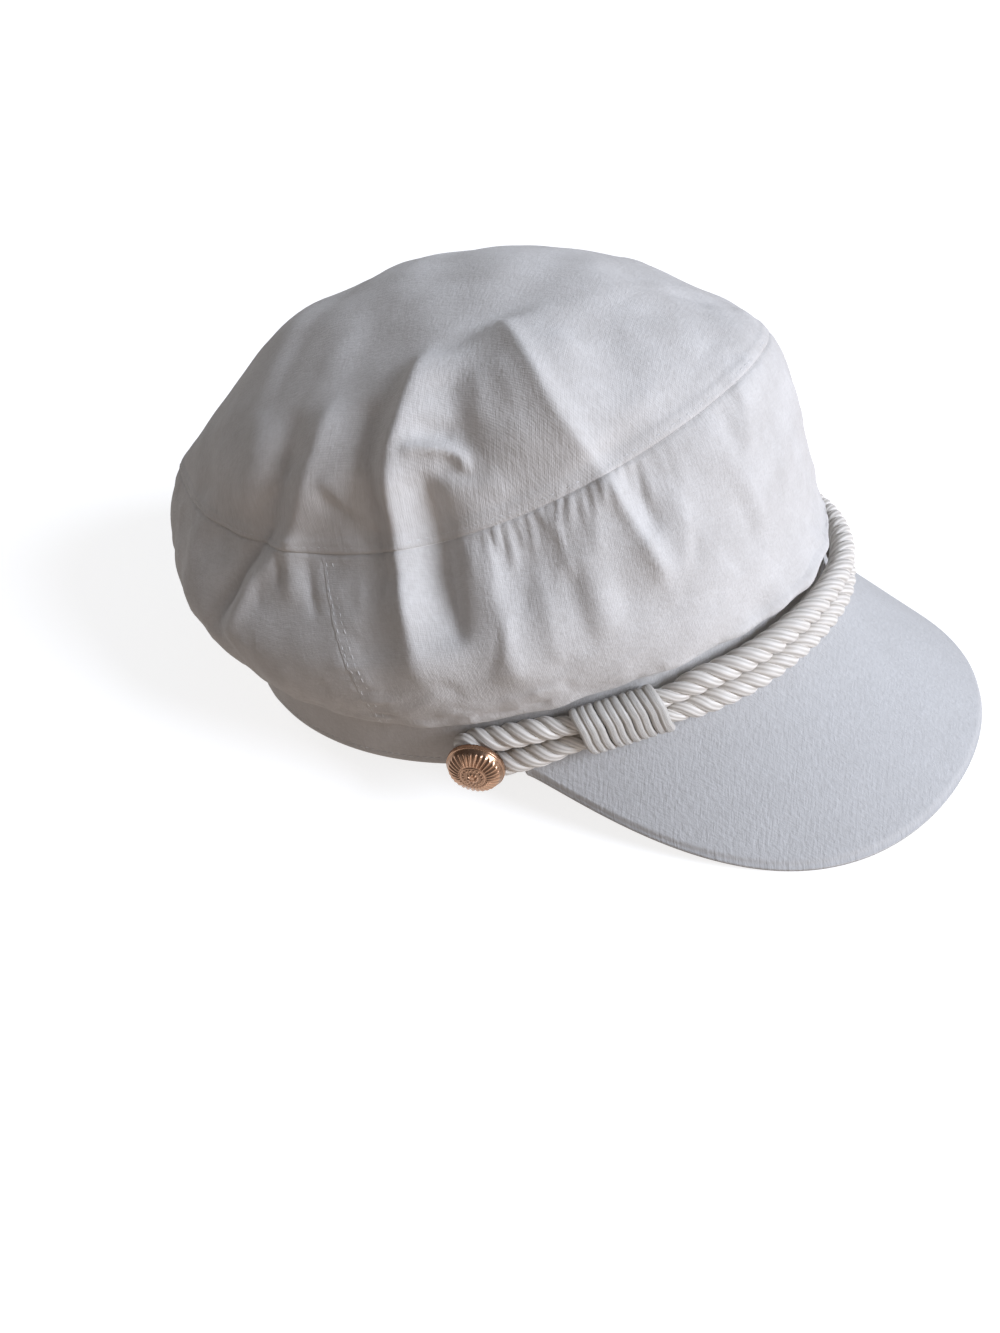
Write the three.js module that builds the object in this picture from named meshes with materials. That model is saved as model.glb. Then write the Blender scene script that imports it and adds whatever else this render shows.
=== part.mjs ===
// Captain hat: a soft cotton crown on a band, a stiff peak, a doubled rope and two domed buttons.
// Millimetres. The hat is worked out in its wearing position, front towards -Y, up +Z, with the
// band's lower edge about z = 0, and is then tipped back to lie on a surface as it does by itself.

import * as THREE from 'three';
import { mergeVertices } from 'three/addons/utils/BufferGeometryUtils.js';

// Band sizes
const bandLength = 204.6; // outside, front to back
const bandWidth = 163.4; // outside, side to side
const bandHeight = 18.4;
const bandWall = 2.4; // cotton outside, tape inside
const bandNarrowing = 0.04; // share by which the forehead side is narrower than the back
const rimWave = 4.8; // the rim rises by this at the front and back and drops by it at the sides

// Crown sizes
const crownWall = 1.6;
const crownRise = 100.6; // top of the crown above the band
const hemOverhang = 4.4; // the sides' lowest fold beyond the band's outer face
const hemDroop = 1; // a middling rise or fall of the cloth there
const foldWidth = 10; // half width of a middling fold
const foldDepth = 4; // height of a middling fold
const foldFade = 0.3; // share of a fold's length over which it dies away at each end
const sideSeamAngle = 97; // degrees from the front to the upright seam on each side

// Peak sizes
const peakReach = 44.5; // in plan, from the band at the front
const peakEndReach = 2.2; // the same at its two ends
const peakEndAngle = 72.7; // degrees from the front
const peakWall = 2.8; // board between two layers of cotton
const peakSlope = 0.99; // drop for each millimetre of reach
const peakForward = 0.59; // 0 spreads square to the band, 1 runs straight forward
const peakFlat = 4.6; // how far the full reach holds on towards the ends
const peakEndRound = 1.25; // how roundly the outline comes back to the band
const peakLift = 1.0; // its upper face above the rim

// Rope, whipping and button sizes
const ropeRadius = 3.7;
const ropeSqueezed = 2.9; // its radius inside the whipping
const ropeGap = 0.3; // between the two runs
const ropeMiddle = bandHeight / 2 + 0.6; // height of the pair's middle above the rim at the front
const ropeTurnRadius = 4.6; // centre line of the loop round a button's shank
const buttonAngle = 78.3; // degrees from the front
const buttonHeight = bandHeight / 2 - 1.6; // above the rim
const buttonRadius = 9;
const buttonDome = 4.2;
const buttonRim = 1.1;
const shankRadius = 0.6;
const whippingAngle = 55; // degrees from the front to its middle
const whippingTurns = 10;
const whippingCord = 2.15; // one turn's thickness along the rope
const whippingWall = 1.6;
const whippingBack = 1.1; // pressed flat against the band
const whippingGroove = 0.5; // between two turns
const whippingFlatness = 0.6; // 1 rounds its section off, 0 makes it square
const seatGap = 0.3; // clearance wherever two pieces meet

// Fineness of the meshes
const aroundSteps = 80;
const crownSideRows = [0, 0.6, 1.2, 1.7, 2.2, 2.8, 3.4, 3.8, 4.15, 4.45, 4.72]; // below the seam
const crownTopRows = [5.2, 5.45, 5.7, 5.95, 6.25, 6.6, 7, 7.5]; // between the seam and the top
const peakSteps = 34;
const peakShares = [0, 0.34, 0.67, 1]; // from the band to the outer edge
const ropeSides = 8;
const ropeRunSteps = [2, 2, 3, 2, 6]; // from a button to the front, between the marks of runAngles
const ropeTurnSteps = 6;
const whippingSides = 12;
const buttonSides = 20;
const domeSteps = 5; // from a button's edge to its middle
const mergeDistance = 0.001; // corners closer than this are one
const topMargin = 0.02; // rows below the top where a direction is still well defined

const halfLength = bandLength / 2;
const halfWidth = bandWidth / 2;
const radians = THREE.MathUtils.degToRad;
const lerp = THREE.MathUtils.lerp;
const smooth = THREE.MathUtils.smoothstep;

// Point on the band's outer face. The angle is 0 at the front and grows to the wearer's right.
function bandPoint(angle, out = 0, height = 0) {
  const c = Math.cos(angle);
  const s = Math.sin(angle);
  const alongX = -halfWidth * (c - bandNarrowing * (c * c - s * s));
  const alongY = halfLength * s;
  const speed = Math.hypot(alongX, alongY);
  const x = -halfWidth * s * (1 - bandNarrowing * c) - (out * alongY) / speed;
  const y = -halfLength * c + (out * alongX) / speed;
  return new THREE.Vector3(x, y, height + rimWave * Math.cos(2 * angle));
}

// Rows of a table as objects whose keys are the names of its columns.
function table(columns, rows) {
  return rows.map((row) => Object.fromEntries(columns.map((column, k) => [column, row[k]])));
}

function bandOutward(angle) {
  const outward = bandPoint(angle, 1).sub(bandPoint(angle));
  return outward.normalize();
}

function bandSpeed(angle) {
  const step = 0.001;
  return bandPoint(angle + step).distanceTo(bandPoint(angle - step)) / (2 * step);
}

// A closed body from a row of closed loops of points, either joined end to end or capped.
// A capped loop runs out along one face and back along the other, so quads close its ends.
function loft(loops, joined) {
  const size = loops[0].length;
  const triangles = [];
  const addTriangle = (a, b, c) => {
    if (a.equals(b) || b.equals(c) || c.equals(a)) return;
    triangles.push(a, b, c);
  };
  const addQuad = (a, b, c, d) => {
    addTriangle(a, b, c);
    addTriangle(a, c, d);
  };
  const spans = joined ? loops.length : loops.length - 1;
  for (let i = 0; i < spans; i += 1) {
    const here = loops[i];
    const next = loops[(i + 1) % loops.length];
    for (let j = 0; j < size; j += 1) {
      const k = (j + 1) % size;
      addQuad(here[j], next[j], next[k], here[k]);
    }
  }
  if (!joined) {
    const first = loops[0];
    const last = loops[loops.length - 1];
    for (let j = 0; j < size / 2 - 1; j += 1) {
      addQuad(first[j], first[j + 1], first[size - 2 - j], first[size - 1 - j]);
      addQuad(last[size - 1 - j], last[size - 2 - j], last[j + 1], last[j]);
    }
  }
  return closedGeometry(triangles);
}

function closedGeometry(corners) {
  let volume = 0;
  for (let i = 0; i < corners.length; i += 3) {
    volume += corners[i].dot(corners[i + 1].clone().cross(corners[i + 2]));
  }
  const positions = [];
  for (let i = 0; i < corners.length; i += 3) {
    const turn = volume < 0 ? [0, 2, 1] : [0, 1, 2];
    turn.forEach((k) => positions.push(...corners[i + k].toArray()));
  }
  const geometry = new THREE.BufferGeometry();
  geometry.setAttribute('position', new THREE.Float32BufferAttribute(positions, 3));
  const merged = mergeVertices(geometry, mergeDistance);
  merged.computeVertexNormals();
  return merged;
}

// The crown's lowest rings roll out over the band. The out columns are shares of hemOverhang
// beyond the band's outer face, the lift columns shares of hemDroop above its upper edge.
const hemRings = table(
  ['name', 'outSide', 'outFront', 'outBack', 'liftSide', 'liftFront', 'liftBack'],
  [
    ['lip', 0.23, 0.1, 0.23, 0.3, 0.35, 0.3],
    ['fold', 1, 0.42, 0.95, -0.2, 0.3, -0.2],
    ['roll', 1.55, 0.55, 1.8, 2.8, 2.8, 3.6],
  ],
);

// The rings above. Their half sizes are shares of the band's half width and half length, their
// heights shares of crownRise above the band, and back is how far a ring's middle lies behind
// the band's, as a share of the band's half length.
const crownRings = table(
  ['name', 'side', 'front', 'rear', 'highSide', 'highFront', 'highBack', 'back'],
  [
    ['belly', 1.1, 1.01, 1.147, 0.17, 0.21, 0.27, 0],
    ['seam', 0.88, 0.918, 1.025, 0.432, 0.645, 0.553, 0.015],
    ['shoulder', 0.795, 0.76, 0.925, 0.67, 0.765, 0.61, 0.025],
    ['dome', 0.486, 0.455, 0.57, 0.868, 0.93, 0.855, 0.03],
    ['top', 0, 0, 0, 1, 1, 1, 0.03],
  ],
);

function hemRing(outSide, outFront, outBack, liftSide, liftFront, liftBack) {
  return {
    side: halfWidth + outSide,
    front: halfLength + outFront,
    rear: halfLength + outBack,
    highSide: bandHeight + liftSide - rimWave,
    highFront: bandHeight + liftFront + rimWave,
    highBack: bandHeight + liftBack + rimWave,
    back: 0,
  };
}

// The cloth's edge stands in the middle of the band's upper edge.
const edgeRing = hemRing(-bandWall / 2, -bandWall / 2, -bandWall / 2, seatGap, seatGap, seatGap);

const rings = [
  edgeRing,
  ...hemRings.map((ring) =>
    hemRing(
      ring.outSide * hemOverhang,
      ring.outFront * hemOverhang,
      ring.outBack * hemOverhang,
      ring.liftSide * hemDroop,
      ring.liftFront * hemDroop,
      ring.liftBack * hemDroop,
    ),
  ),
  ...crownRings.map((ring) => ({
    side: ring.side * halfWidth,
    front: ring.front * halfLength,
    rear: ring.rear * halfLength,
    highSide: bandHeight + ring.highSide * crownRise,
    highFront: bandHeight + ring.highFront * crownRise,
    highBack: bandHeight + ring.highBack * crownRise,
    back: ring.back * halfLength,
  })),
];
const seamRow = 1 + hemRings.length + crownRings.findIndex((ring) => ring.name === 'seam');
const topRow = rings.length - 1;

// Folds of the slack cloth, each a ridge (or a valley, with a height below nought) from its head
// near the top to its foot. Rows count the rings up from the edge: 2 fold, 4 belly, 5 seam,
// 6 shoulder, 7 dome. Angles are in degrees from the front, positive on the wearer's right. Width
// and height are shares of foldWidth and foldDepth.
const folds = table(
  ['name', 'headRow', 'headAngle', 'footRow', 'footAngle', 'width', 'height'],
  [
    ['main ridge', 7, 72, 3.6, 83, 0.75, 1.35],
    ['valley behind it', 6.7, 90, 5, 89, 0.7, -0.95],
    ['valley before it', 6.3, 73, 3.6, 74, 0.7, -0.9],
    ['hook by the seam', 6.1, 68, 5.2, 69, 0.45, 0.45],
    ['front ridge', 7, 46, 3.9, 42, 0.85, 0.85],
    ['front valley', 7, 63, 5.2, 52, 0.85, -0.75],
    ['back crease', 6.2, 92, 3.2, 128, 0.6, -0.85],
    ['lap before the crease', 6, 84, 3.4, 116, 0.75, 0.5],
    ['slanting valley', 5.6, 97, 4.5, 85, 0.5, -0.5],
    ['soft ridge above', 6.9, 99, 5.1, 103, 0.8, 0.5],
    ['valley under the seam', 5.05, 33, 4.2, 43, 0.6, -0.55],
    ['side valley', 4.8, 63, 3.2, 60, 0.8, -0.5],
    ['back ridge', 6.4, 150, 3.4, 158, 1.1, 0.6],
    ['back valley', 6.2, -170, 3.4, -176, 1, -0.6],
    ['far back ridge', 6.6, -138, 3.5, -150, 0.9, 0.7],
    ['far ridge', 6.9, -84, 3.7, -92, 0.9, 0.9],
    ['far valley', 6.5, -100, 3.6, -108, 0.8, -0.7],
    ['far front valley', 6.6, -62, 4, -58, 0.8, -0.6],
    ['far front ridge', 6.8, -40, 3.9, -36, 0.9, 0.5],
  ],
);

function foldRelief(angle, row) {
  let relief = 0;
  for (const fold of folds) {
    const along = (row - fold.footRow) / (fold.headRow - fold.footRow);
    if (along <= 0 || along >= 1) continue;
    const centre = lerp(radians(fold.footAngle), radians(fold.headAngle), along);
    const turn = Math.atan2(Math.sin(angle - centre), Math.cos(angle - centre));
    const across = (turn * halfWidth) / (fold.width * foldWidth);
    const fade = smooth(along, 0, foldFade) * smooth(1 - along, 0, foldFade);
    relief += fold.height * foldDepth * fade * Math.exp(-across * across);
  }
  return relief;
}

function ringPoint(ring, angle) {
  const c = Math.cos(angle);
  const s = Math.sin(angle);
  const meanEnds = (ring.highFront + ring.highBack) / 2;
  const wave = (meanEnds - ring.highSide) / 2;
  const tilt = (ring.highFront - ring.highBack) / 2;
  return new THREE.Vector3(
    -ring.side * s * (1 - bandNarrowing * c),
    -(c > 0 ? ring.front : ring.rear) * c + ring.back,
    ring.highSide + wave + tilt * c + wave * Math.cos(2 * angle),
  );
}

// A meridian runs up from the hem, over the top and a little way down the other side.
const meridians = new Map();
function meridian(angle) {
  const key = angle.toFixed(6);
  if (!meridians.has(key)) {
    const up = rings.map((ring) => ringPoint(ring, angle));
    const down = [topRow - 1, topRow - 2].map((row) => ringPoint(rings[row], angle + Math.PI));
    meridians.set(key, new THREE.CatmullRomCurve3([...up, ...down], false, 'centripetal'));
  }
  return meridians.get(key);
}

function plainCrown(angle, row) {
  return meridian(angle).getPoint(row / (topRow + 2));
}

// Outward direction of a surface given by point(angle, row), from two short steps on it.
function outwardOf(point, angle, row) {
  const step = 0.002;
  const safeRow = Math.min(row, topRow - topMargin);
  const around = point(angle + step, safeRow).sub(point(angle - step, safeRow));
  const up = point(angle, safeRow + step).sub(point(angle, Math.max(safeRow - step, 0)));
  return up.cross(around).normalize();
}

function crownSkin(angle, row) {
  if (row >= topRow) return plainCrown(angle, topRow);
  const point = plainCrown(angle, row);
  const relief = foldRelief(angle, row);
  return point.addScaledVector(outwardOf(plainCrown, angle, row), relief);
}

const straightUp = new THREE.Vector3(0, 0, 1);
function crownInside(angle, row) {
  const point = crownSkin(angle, row);
  const outward = row >= topRow ? straightUp : outwardOf(crownSkin, angle, row);
  return point.addScaledVector(outward, -crownWall);
}

// Row that lies a given length beyond another, measured up the crown.
function rowBeyond(angle, row, length) {
  const step = 0.01;
  const double = plainCrown(angle, row + step).distanceTo(plainCrown(angle, row - step));
  return row + (length * 2 * step) / double;
}

// Angle that lies a given length beyond another, measured round the crown.
function angleBeyond(angle, row, length) {
  const step = 0.001;
  const double = plainCrown(angle + step, row).distanceTo(plainCrown(angle - step, row));
  return angle + (length * 2 * step) / double;
}

// One loop of a crown panel: up its outer face along a meridian and back down its inner face.
function panelLoop(rows, angleOf) {
  const outer = rows.map((row) => crownSkin(angleOf(row), row));
  const inner = rows.map((row) => crownInside(angleOf(row), row));
  return [...outer, ...inner.reverse()];
}

function sideLoop(angle, edge = 0) {
  const seam = rowBeyond(angle, seamRow, -seatGap / 2);
  return panelLoop([...crownSideRows, seam], (row) => angleBeyond(angle, row, edge));
}

// A side panel between two angles, held off its neighbours by half a gap at each end.
function sidePanel(start, end) {
  const steps = Math.round((aroundSteps * (end - start)) / 360);
  const loops = [];
  for (let i = 0; i <= steps; i += 1) {
    const angle = radians(lerp(start, end, i / steps));
    const edge = i === 0 ? seatGap / 2 : i === steps ? -seatGap / 2 : 0;
    loops.push(sideLoop(angle, edge));
  }
  return loft(loops, false);
}

function crownTop() {
  const loops = [];
  for (let i = 0; i < aroundSteps; i += 1) {
    const angle = ((i + 0.5) * 2 * Math.PI) / aroundSteps;
    const seam = rowBeyond(angle, seamRow, seatGap / 2);
    loops.push(panelLoop([seam, ...crownTopRows, topRow], () => angle));
  }
  return loft(loops, true);
}

function band() {
  const loops = [];
  for (let i = 0; i < aroundSteps; i += 1) {
    const angle = ((i + 0.5) * 2 * Math.PI) / aroundSteps;
    loops.push([
      bandPoint(angle, 0, 0),
      bandPoint(angle, 0, bandHeight),
      bandPoint(angle, -bandWall, bandHeight),
      bandPoint(angle, -bandWall, 0),
    ]);
  }
  return loft(loops, true);
}

// Point on the peak's upper face. share runs from 0 at the band to 1 at the outer edge.
function peakPoint(angle, share) {
  const t = Math.min(Math.abs(angle) / radians(peakEndAngle), 1);
  const full = Math.pow(1 - Math.pow(t, peakFlat), peakEndRound);
  const reach = lerp(peakEndReach, peakReach, full) * share;
  const forward = new THREE.Vector3(0, -1, 0);
  const direction = bandOutward(angle).lerp(forward, peakForward).normalize();
  const start = bandPoint(angle, seatGap, peakLift);
  return start.addScaledVector(direction, reach).setZ(start.z - peakSlope * reach);
}

function peakLoop(angle) {
  const down = new THREE.Vector3(0, 0, -peakWall * Math.hypot(1, peakSlope));
  const upper = peakShares.map((share) => peakPoint(angle, share));
  const lower = upper.map((point) => point.clone().add(down));
  return [...upper, ...lower.reverse()];
}

// Angles are closer together towards the ends, where the outline turns back to the band.
function peak() {
  const loops = [];
  for (let i = 0; i <= peakSteps; i += 1) {
    const t = Math.sin((Math.PI / 2) * ((2 * i) / peakSteps - 1));
    loops.push(peakLoop(t * radians(peakEndAngle)));
  }
  return loft(loops, false);
}

const whippingHalf = (whippingTurns * whippingCord) / 2;
const whippingReach = whippingHalf / bandSpeed(radians(whippingAngle));

const squeezeHold = whippingReach + ropeRadius / 2 / halfWidth;
const squeezeEnd = squeezeHold + (2 * ropeRadius) / halfWidth;

// 1 inside the whipping and just beyond it, then falling to 0 within a rope's width. The two runs
// are squeezed there and stand off the band by the cord that passes behind them.
function squeeze(angle) {
  const beyond = Math.abs(Math.abs(angle) - radians(whippingAngle));
  return 1 - smooth(beyond, squeezeHold, squeezeEnd);
}

function ropeRadiusAt(angle) {
  return lerp(ropeRadius, ropeSqueezed, squeeze(angle));
}

function ropeOut(angle) {
  return seatGap + ropeRadiusAt(angle) + squeeze(angle) * (whippingBack + seatGap);
}

// How far along from the whipping to the button, where the two runs spread round its shank.
function spread(angle) {
  const from = radians(whippingAngle) + whippingReach;
  return smooth(Math.abs(angle), from, radians(buttonAngle));
}

function pairMiddle(angle) {
  return lerp(ropeMiddle, buttonHeight, spread(angle));
}

function pairHalf(angle) {
  return lerp(ropeRadiusAt(angle) + ropeGap / 2, ropeTurnRadius, spread(angle));
}

function runPoint(angle, side) {
  return bandPoint(angle, ropeOut(angle), pairMiddle(angle) + side * pairHalf(angle));
}

// Angles of one run's sections, from one button to the other.
function runAngles() {
  const middle = radians(whippingAngle);
  const marks = [radians(buttonAngle)];
  marks.push(middle + squeezeEnd, middle + squeezeHold, middle - squeezeHold, middle - squeezeEnd, 0);
  const half = [];
  ropeRunSteps.forEach((steps, k) => {
    for (let i = 0; i < steps; i += 1) half.push(lerp(marks[k], marks[k + 1], i / steps));
  });
  return [...half, 0, ...half.map((angle) => -angle).reverse()];
}

// The centre line: the lower run, a half turn round one shank, the upper run, and the other turn.
function ropeLine() {
  const end = radians(buttonAngle);
  const points = [];
  for (const side of [-1, 1]) {
    for (const runAngle of runAngles()) {
      const angle = -side * runAngle;
      points.push({ angle, position: runPoint(angle, side) });
    }
    for (let i = 1; i < ropeTurnSteps; i += 1) {
      const turn = (Math.PI * i) / ropeTurnSteps;
      const past = (Math.sin(turn) * ropeTurnRadius) / bandSpeed(end);
      const angle = side * (end + past);
      const height = buttonHeight + side * ropeTurnRadius * Math.cos(turn);
      points.push({ angle, position: bandPoint(angle, ropeOut(angle), height) });
    }
  }
  return points;
}

function rope() {
  const line = ropeLine();
  const loops = line.map((here, i) => {
    const before = line[(i + line.length - 1) % line.length].position;
    const after = line[(i + 1) % line.length].position;
    const tangent = after.clone().sub(before).normalize();
    const across = tangent.clone().cross(bandOutward(here.angle)).normalize();
    const outward = across.clone().cross(tangent);
    const loop = [];
    for (let k = 0; k < ropeSides; k += 1) {
      const turn = (2 * Math.PI * (k + 0.5)) / ropeSides;
      const radius = ropeRadiusAt(here.angle);
      const point = here.position.clone();
      point.addScaledVector(across, radius * Math.cos(turn));
      loop.push(point.addScaledVector(outward, radius * Math.sin(turn)));
    }
    return loop;
  });
  return loft(loops, true);
}

// Outline of the whipping's section: turn is 0 away from the band and half a circle at the band.
// Around a pair of runs it is a flattened oval, thinner where it is pressed against the band. Its
// corners stand off a little more, so that its flats clear the rope.
function whippingSection(turn, wall, back) {
  const outward = Math.cos(turn);
  const upward = Math.sin(turn);
  const bulge = (ropeSqueezed + seatGap) / Math.cos(Math.PI / whippingSides);
  const thickness = outward < 0 ? lerp(wall, back, -outward) : wall;
  const round = Math.sign(upward) * Math.pow(Math.abs(upward), whippingFlatness);
  return {
    out: outward * bulge + outward * thickness,
    up: round * (ropeSqueezed + ropeGap / 2 + bulge) + upward * thickness,
  };
}

// Cut along the rope: ribs of the turns on the outer face, a smooth inner face.
function whipping(side) {
  const loops = [];
  for (let k = 0; k < whippingSides; k += 1) {
    const turn = (2 * Math.PI * k) / whippingSides;
    const outer = [];
    const inner = [];
    for (let i = 0; i <= 2 * whippingTurns; i += 1) {
      const share = i / whippingTurns - 1;
      const angle = radians(whippingAngle) + share * whippingReach;
      const groove = i % 2 === 0 ? whippingGroove : 0;
      const face = whippingSection(turn, whippingWall - groove, whippingBack - groove / 2);
      const bore = whippingSection(turn, 0, 0);
      const out = ropeOut(angle);
      const height = pairMiddle(angle);
      const place = (at) => bandPoint(side * angle, out + at.out, height + at.up);
      outer.push(place(face));
      inner.push(place(bore));
    }
    loops.push([...outer, ...inner.reverse()]);
  }
  return loft(loops, true);
}

// A domed metal button on a short shank that stands on the band inside the rope's loop.
function button() {
  const seat = seatGap;
  const under = 2 * (seatGap + ropeRadius) + seatGap / 2; // clear of the rope's loop
  const profile = [
    new THREE.Vector2(0, seat),
    new THREE.Vector2(shankRadius, seat),
    new THREE.Vector2(shankRadius, under),
    new THREE.Vector2(buttonRadius - buttonRim / 2, under),
    new THREE.Vector2(buttonRadius, under + buttonRim / 2),
    new THREE.Vector2(buttonRadius - buttonRim / 2, under + buttonRim),
  ];
  for (let i = 1; i < domeSteps; i += 1) {
    const lean = ((Math.PI / 2) * i) / domeSteps;
    const radius = (buttonRadius - buttonRim) * Math.cos(lean);
    profile.push(new THREE.Vector2(radius, under + buttonRim + buttonDome * Math.sin(lean)));
  }
  profile.push(new THREE.Vector2(0, under + buttonRim + buttonDome));
  const loops = [];
  for (let i = 0; i < buttonSides; i += 1) {
    const turn = (2 * Math.PI * i) / buttonSides;
    loops.push(profile.map((p) => new THREE.Vector3(p.x * Math.cos(turn), p.x * Math.sin(turn), p.y)));
  }
  return loft(loops, true);
}

function placeButton(mesh, side) {
  const angle = side * radians(buttonAngle);
  mesh.position.copy(bandPoint(angle, 0, buttonHeight));
  mesh.quaternion.setFromUnitVectors(straightUp, bandOutward(angle));
}

// Materials
const cotton = { color: 0xe9e7e6, roughness: 0.93, metalness: 0 };
const peakCotton = { color: 0xe7e8ea, roughness: 0.9, metalness: 0 };
const cord = { color: 0xf0ebe2, roughness: 0.55, metalness: 0 };
const gilt = { color: 0xc79a6c, roughness: 0.3, metalness: 1 };

const hat = new THREE.Group();
function addPiece(name, geometry, finish) {
  const mesh = new THREE.Mesh(geometry, new THREE.MeshStandardMaterial(finish));
  mesh.name = name;
  hat.add(mesh);
  return mesh;
}

addPiece('crown_top', crownTop(), cotton);
addPiece('crown_side_front', sidePanel(-sideSeamAngle, sideSeamAngle), cotton);
addPiece('crown_side_back', sidePanel(sideSeamAngle, 360 - sideSeamAngle), cotton);
addPiece('band', band(), cotton);
addPiece('peak', peak(), peakCotton);
addPiece('rope', rope(), cord);
for (const [name, side] of [['right', 1], ['left', -1]]) {
  addPiece(`whipping_${name}`, whipping(side), cord);
  placeButton(addPiece(`button_${name}`, button(), gilt), side);
}

// Lay the hat down: tip it back until the band's and the peak's lowest points are level, then
// stand it on z = 0 with its bounding box centred.
function lowestPoint(name) {
  const mesh = hat.getObjectByName(name);
  const points = mesh.geometry.getAttribute('position');
  const lowest = new THREE.Vector3(0, 0, Infinity);
  const point = new THREE.Vector3();
  for (let i = 0; i < points.count; i += 1) {
    point.fromBufferAttribute(points, i).applyQuaternion(hat.quaternion);
    if (point.z < lowest.z) lowest.copy(point);
  }
  return lowest;
}

const settlingRounds = 12;
for (let i = 0; i < settlingRounds; i += 1) {
  const rim = lowestPoint('band');
  const tip = lowestPoint('peak');
  hat.rotation.x -= Math.atan2(rim.z - tip.z, rim.y - tip.y);
}
hat.updateMatrixWorld(true);
const box = new THREE.Box3().setFromObject(hat, true);
const middle = box.getCenter(new THREE.Vector3());
hat.position.set(-middle.x, -middle.y, -box.min.z);

const part = new THREE.Group();
part.add(hat);
part.updateMatrixWorld(true);

export default part;
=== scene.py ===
import math
from collections import namedtuple

import bpy
import numpy as np
from mathutils import Matrix, Vector


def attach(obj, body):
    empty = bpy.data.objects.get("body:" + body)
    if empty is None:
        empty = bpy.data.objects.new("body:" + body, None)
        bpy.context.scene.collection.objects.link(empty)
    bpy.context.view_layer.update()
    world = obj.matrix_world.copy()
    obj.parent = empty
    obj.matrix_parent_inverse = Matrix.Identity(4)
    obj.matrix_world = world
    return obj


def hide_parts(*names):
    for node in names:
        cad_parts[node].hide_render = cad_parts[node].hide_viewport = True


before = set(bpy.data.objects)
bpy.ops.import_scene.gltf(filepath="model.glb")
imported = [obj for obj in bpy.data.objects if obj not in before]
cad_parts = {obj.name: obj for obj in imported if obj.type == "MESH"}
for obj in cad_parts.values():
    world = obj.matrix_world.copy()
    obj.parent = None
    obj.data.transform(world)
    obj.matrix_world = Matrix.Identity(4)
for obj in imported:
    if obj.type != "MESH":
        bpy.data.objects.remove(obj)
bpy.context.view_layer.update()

# Captain hat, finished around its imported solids. Sizes are worked out in the hat's wearing
# position, front towards -Y and the band's lower edge about z = 0, in metres. to_rest tips them
# back to the way that the hat lies. Angles run round the band, 0 at the front and growing to the
# wearer's right.
MM = 0.001

# Pose of the hat where it lies
TIP_BACK = math.radians(12.31657)
HAT_ORIGIN = np.array([0.0, 14.3092, 17.1300]) * MM

# Band
HALF_LENGTH = 204.6 * MM / 2
HALF_WIDTH = 163.4 * MM / 2
BAND_HEIGHT = 18.4 * MM
BAND_WALL = 2.4 * MM
BAND_NARROWING = 0.04
RIM_WAVE = 4.8 * MM

# Crown
CROWN_WALL = 1.6 * MM
CROWN_RISE = 100.6 * MM
HEM_OVERHANG = 4.4 * MM
HEM_DROOP = 1.0 * MM
SIDE_SEAM = math.radians(97)
SEAM_ROW = 5
TOP_ROW = 8

# Peak
PEAK_REACH = 44.5 * MM
PEAK_END_REACH = 2.2 * MM
PEAK_END = math.radians(72.7)
PEAK_WALL = 2.8 * MM
PEAK_SLOPE = 0.99
PEAK_FORWARD = 0.59
PEAK_FLAT = 4.6
PEAK_END_ROUND = 1.25
PEAK_LIFT = 1.0 * MM

# Rope, whippings and buttons
ROPE_RADIUS = 3.7 * MM
ROPE_SQUEEZED = 2.9 * MM
ROPE_GAP = 0.3 * MM
ROPE_MIDDLE = BAND_HEIGHT / 2 + 0.6 * MM
ROPE_TURN_RADIUS = 4.6 * MM
ROPE_LAY = 15.5 * MM
ROPE_AWAY = 2.2 * MM
ROPE_SAG = 1.1 * MM
ROPE_AWAY_MIDDLE = math.radians(17)
ROPE_AWAY_REACH = (math.radians(12), math.radians(39))
BUTTON_ANGLE = math.radians(78.3)
BUTTON_HEIGHT = BAND_HEIGHT / 2 - 1.6 * MM
BUTTON_RADIUS = 8.5 * MM
BUTTON_TIP = math.radians(5)
BUTTON_DOME = 4.2 * MM
BUTTON_RIM = 1.1 * MM
SHANK_RADIUS = 0.6 * MM
WHIPPING_ANGLE = math.radians(55)
WHIPPING_TURNS = 10
WHIPPING_CORD = 2.35 * MM
WHIPPING_LEAN = 1.5 * MM
WHIPPING_WALL = 1.6 * MM
WHIPPING_BACK = 1.1 * MM
WHIPPING_FLATNESS = 0.6
SEAT_GAP = 0.3 * MM


def smoothstep(x, low, high):
    t = np.clip((x - low) / (high - low), 0, 1)
    return t * t * (3 - 2 * t)


def lerp(a, b, t):
    return a + (b - a) * t


def unit(vectors):
    return vectors / np.maximum(np.linalg.norm(vectors, axis=-1, keepdims=True), 1e-12)


def lengths_of(vectors):
    return np.linalg.norm(vectors, axis=-1)


def along_line(line):
    return np.concatenate([[0], np.cumsum(lengths_of(np.diff(line, axis=0)))])


# 1 between full and hold, and 0 before start and after end.
def plateau(x, start, full, hold, end):
    return smoothstep(x, start, full) * (1 - smoothstep(x, hold, end))


def bell(x, width):
    return np.exp(-((x / width) ** 2))


def turn_from(angle, middle=0.0):
    return np.angle(np.exp(1j * (angle - middle)))


def full_circle(count):
    return np.linspace(0, 2 * math.pi, count, endpoint=False)


def to_rest(points):
    c, s = math.cos(TIP_BACK), math.sin(TIP_BACK)
    x, y, z = np.moveaxis(np.asarray(points, float), -1, 0)
    return np.stack([x, y * c + z * s, z * c - y * s], -1) + HAT_ORIGIN


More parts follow.
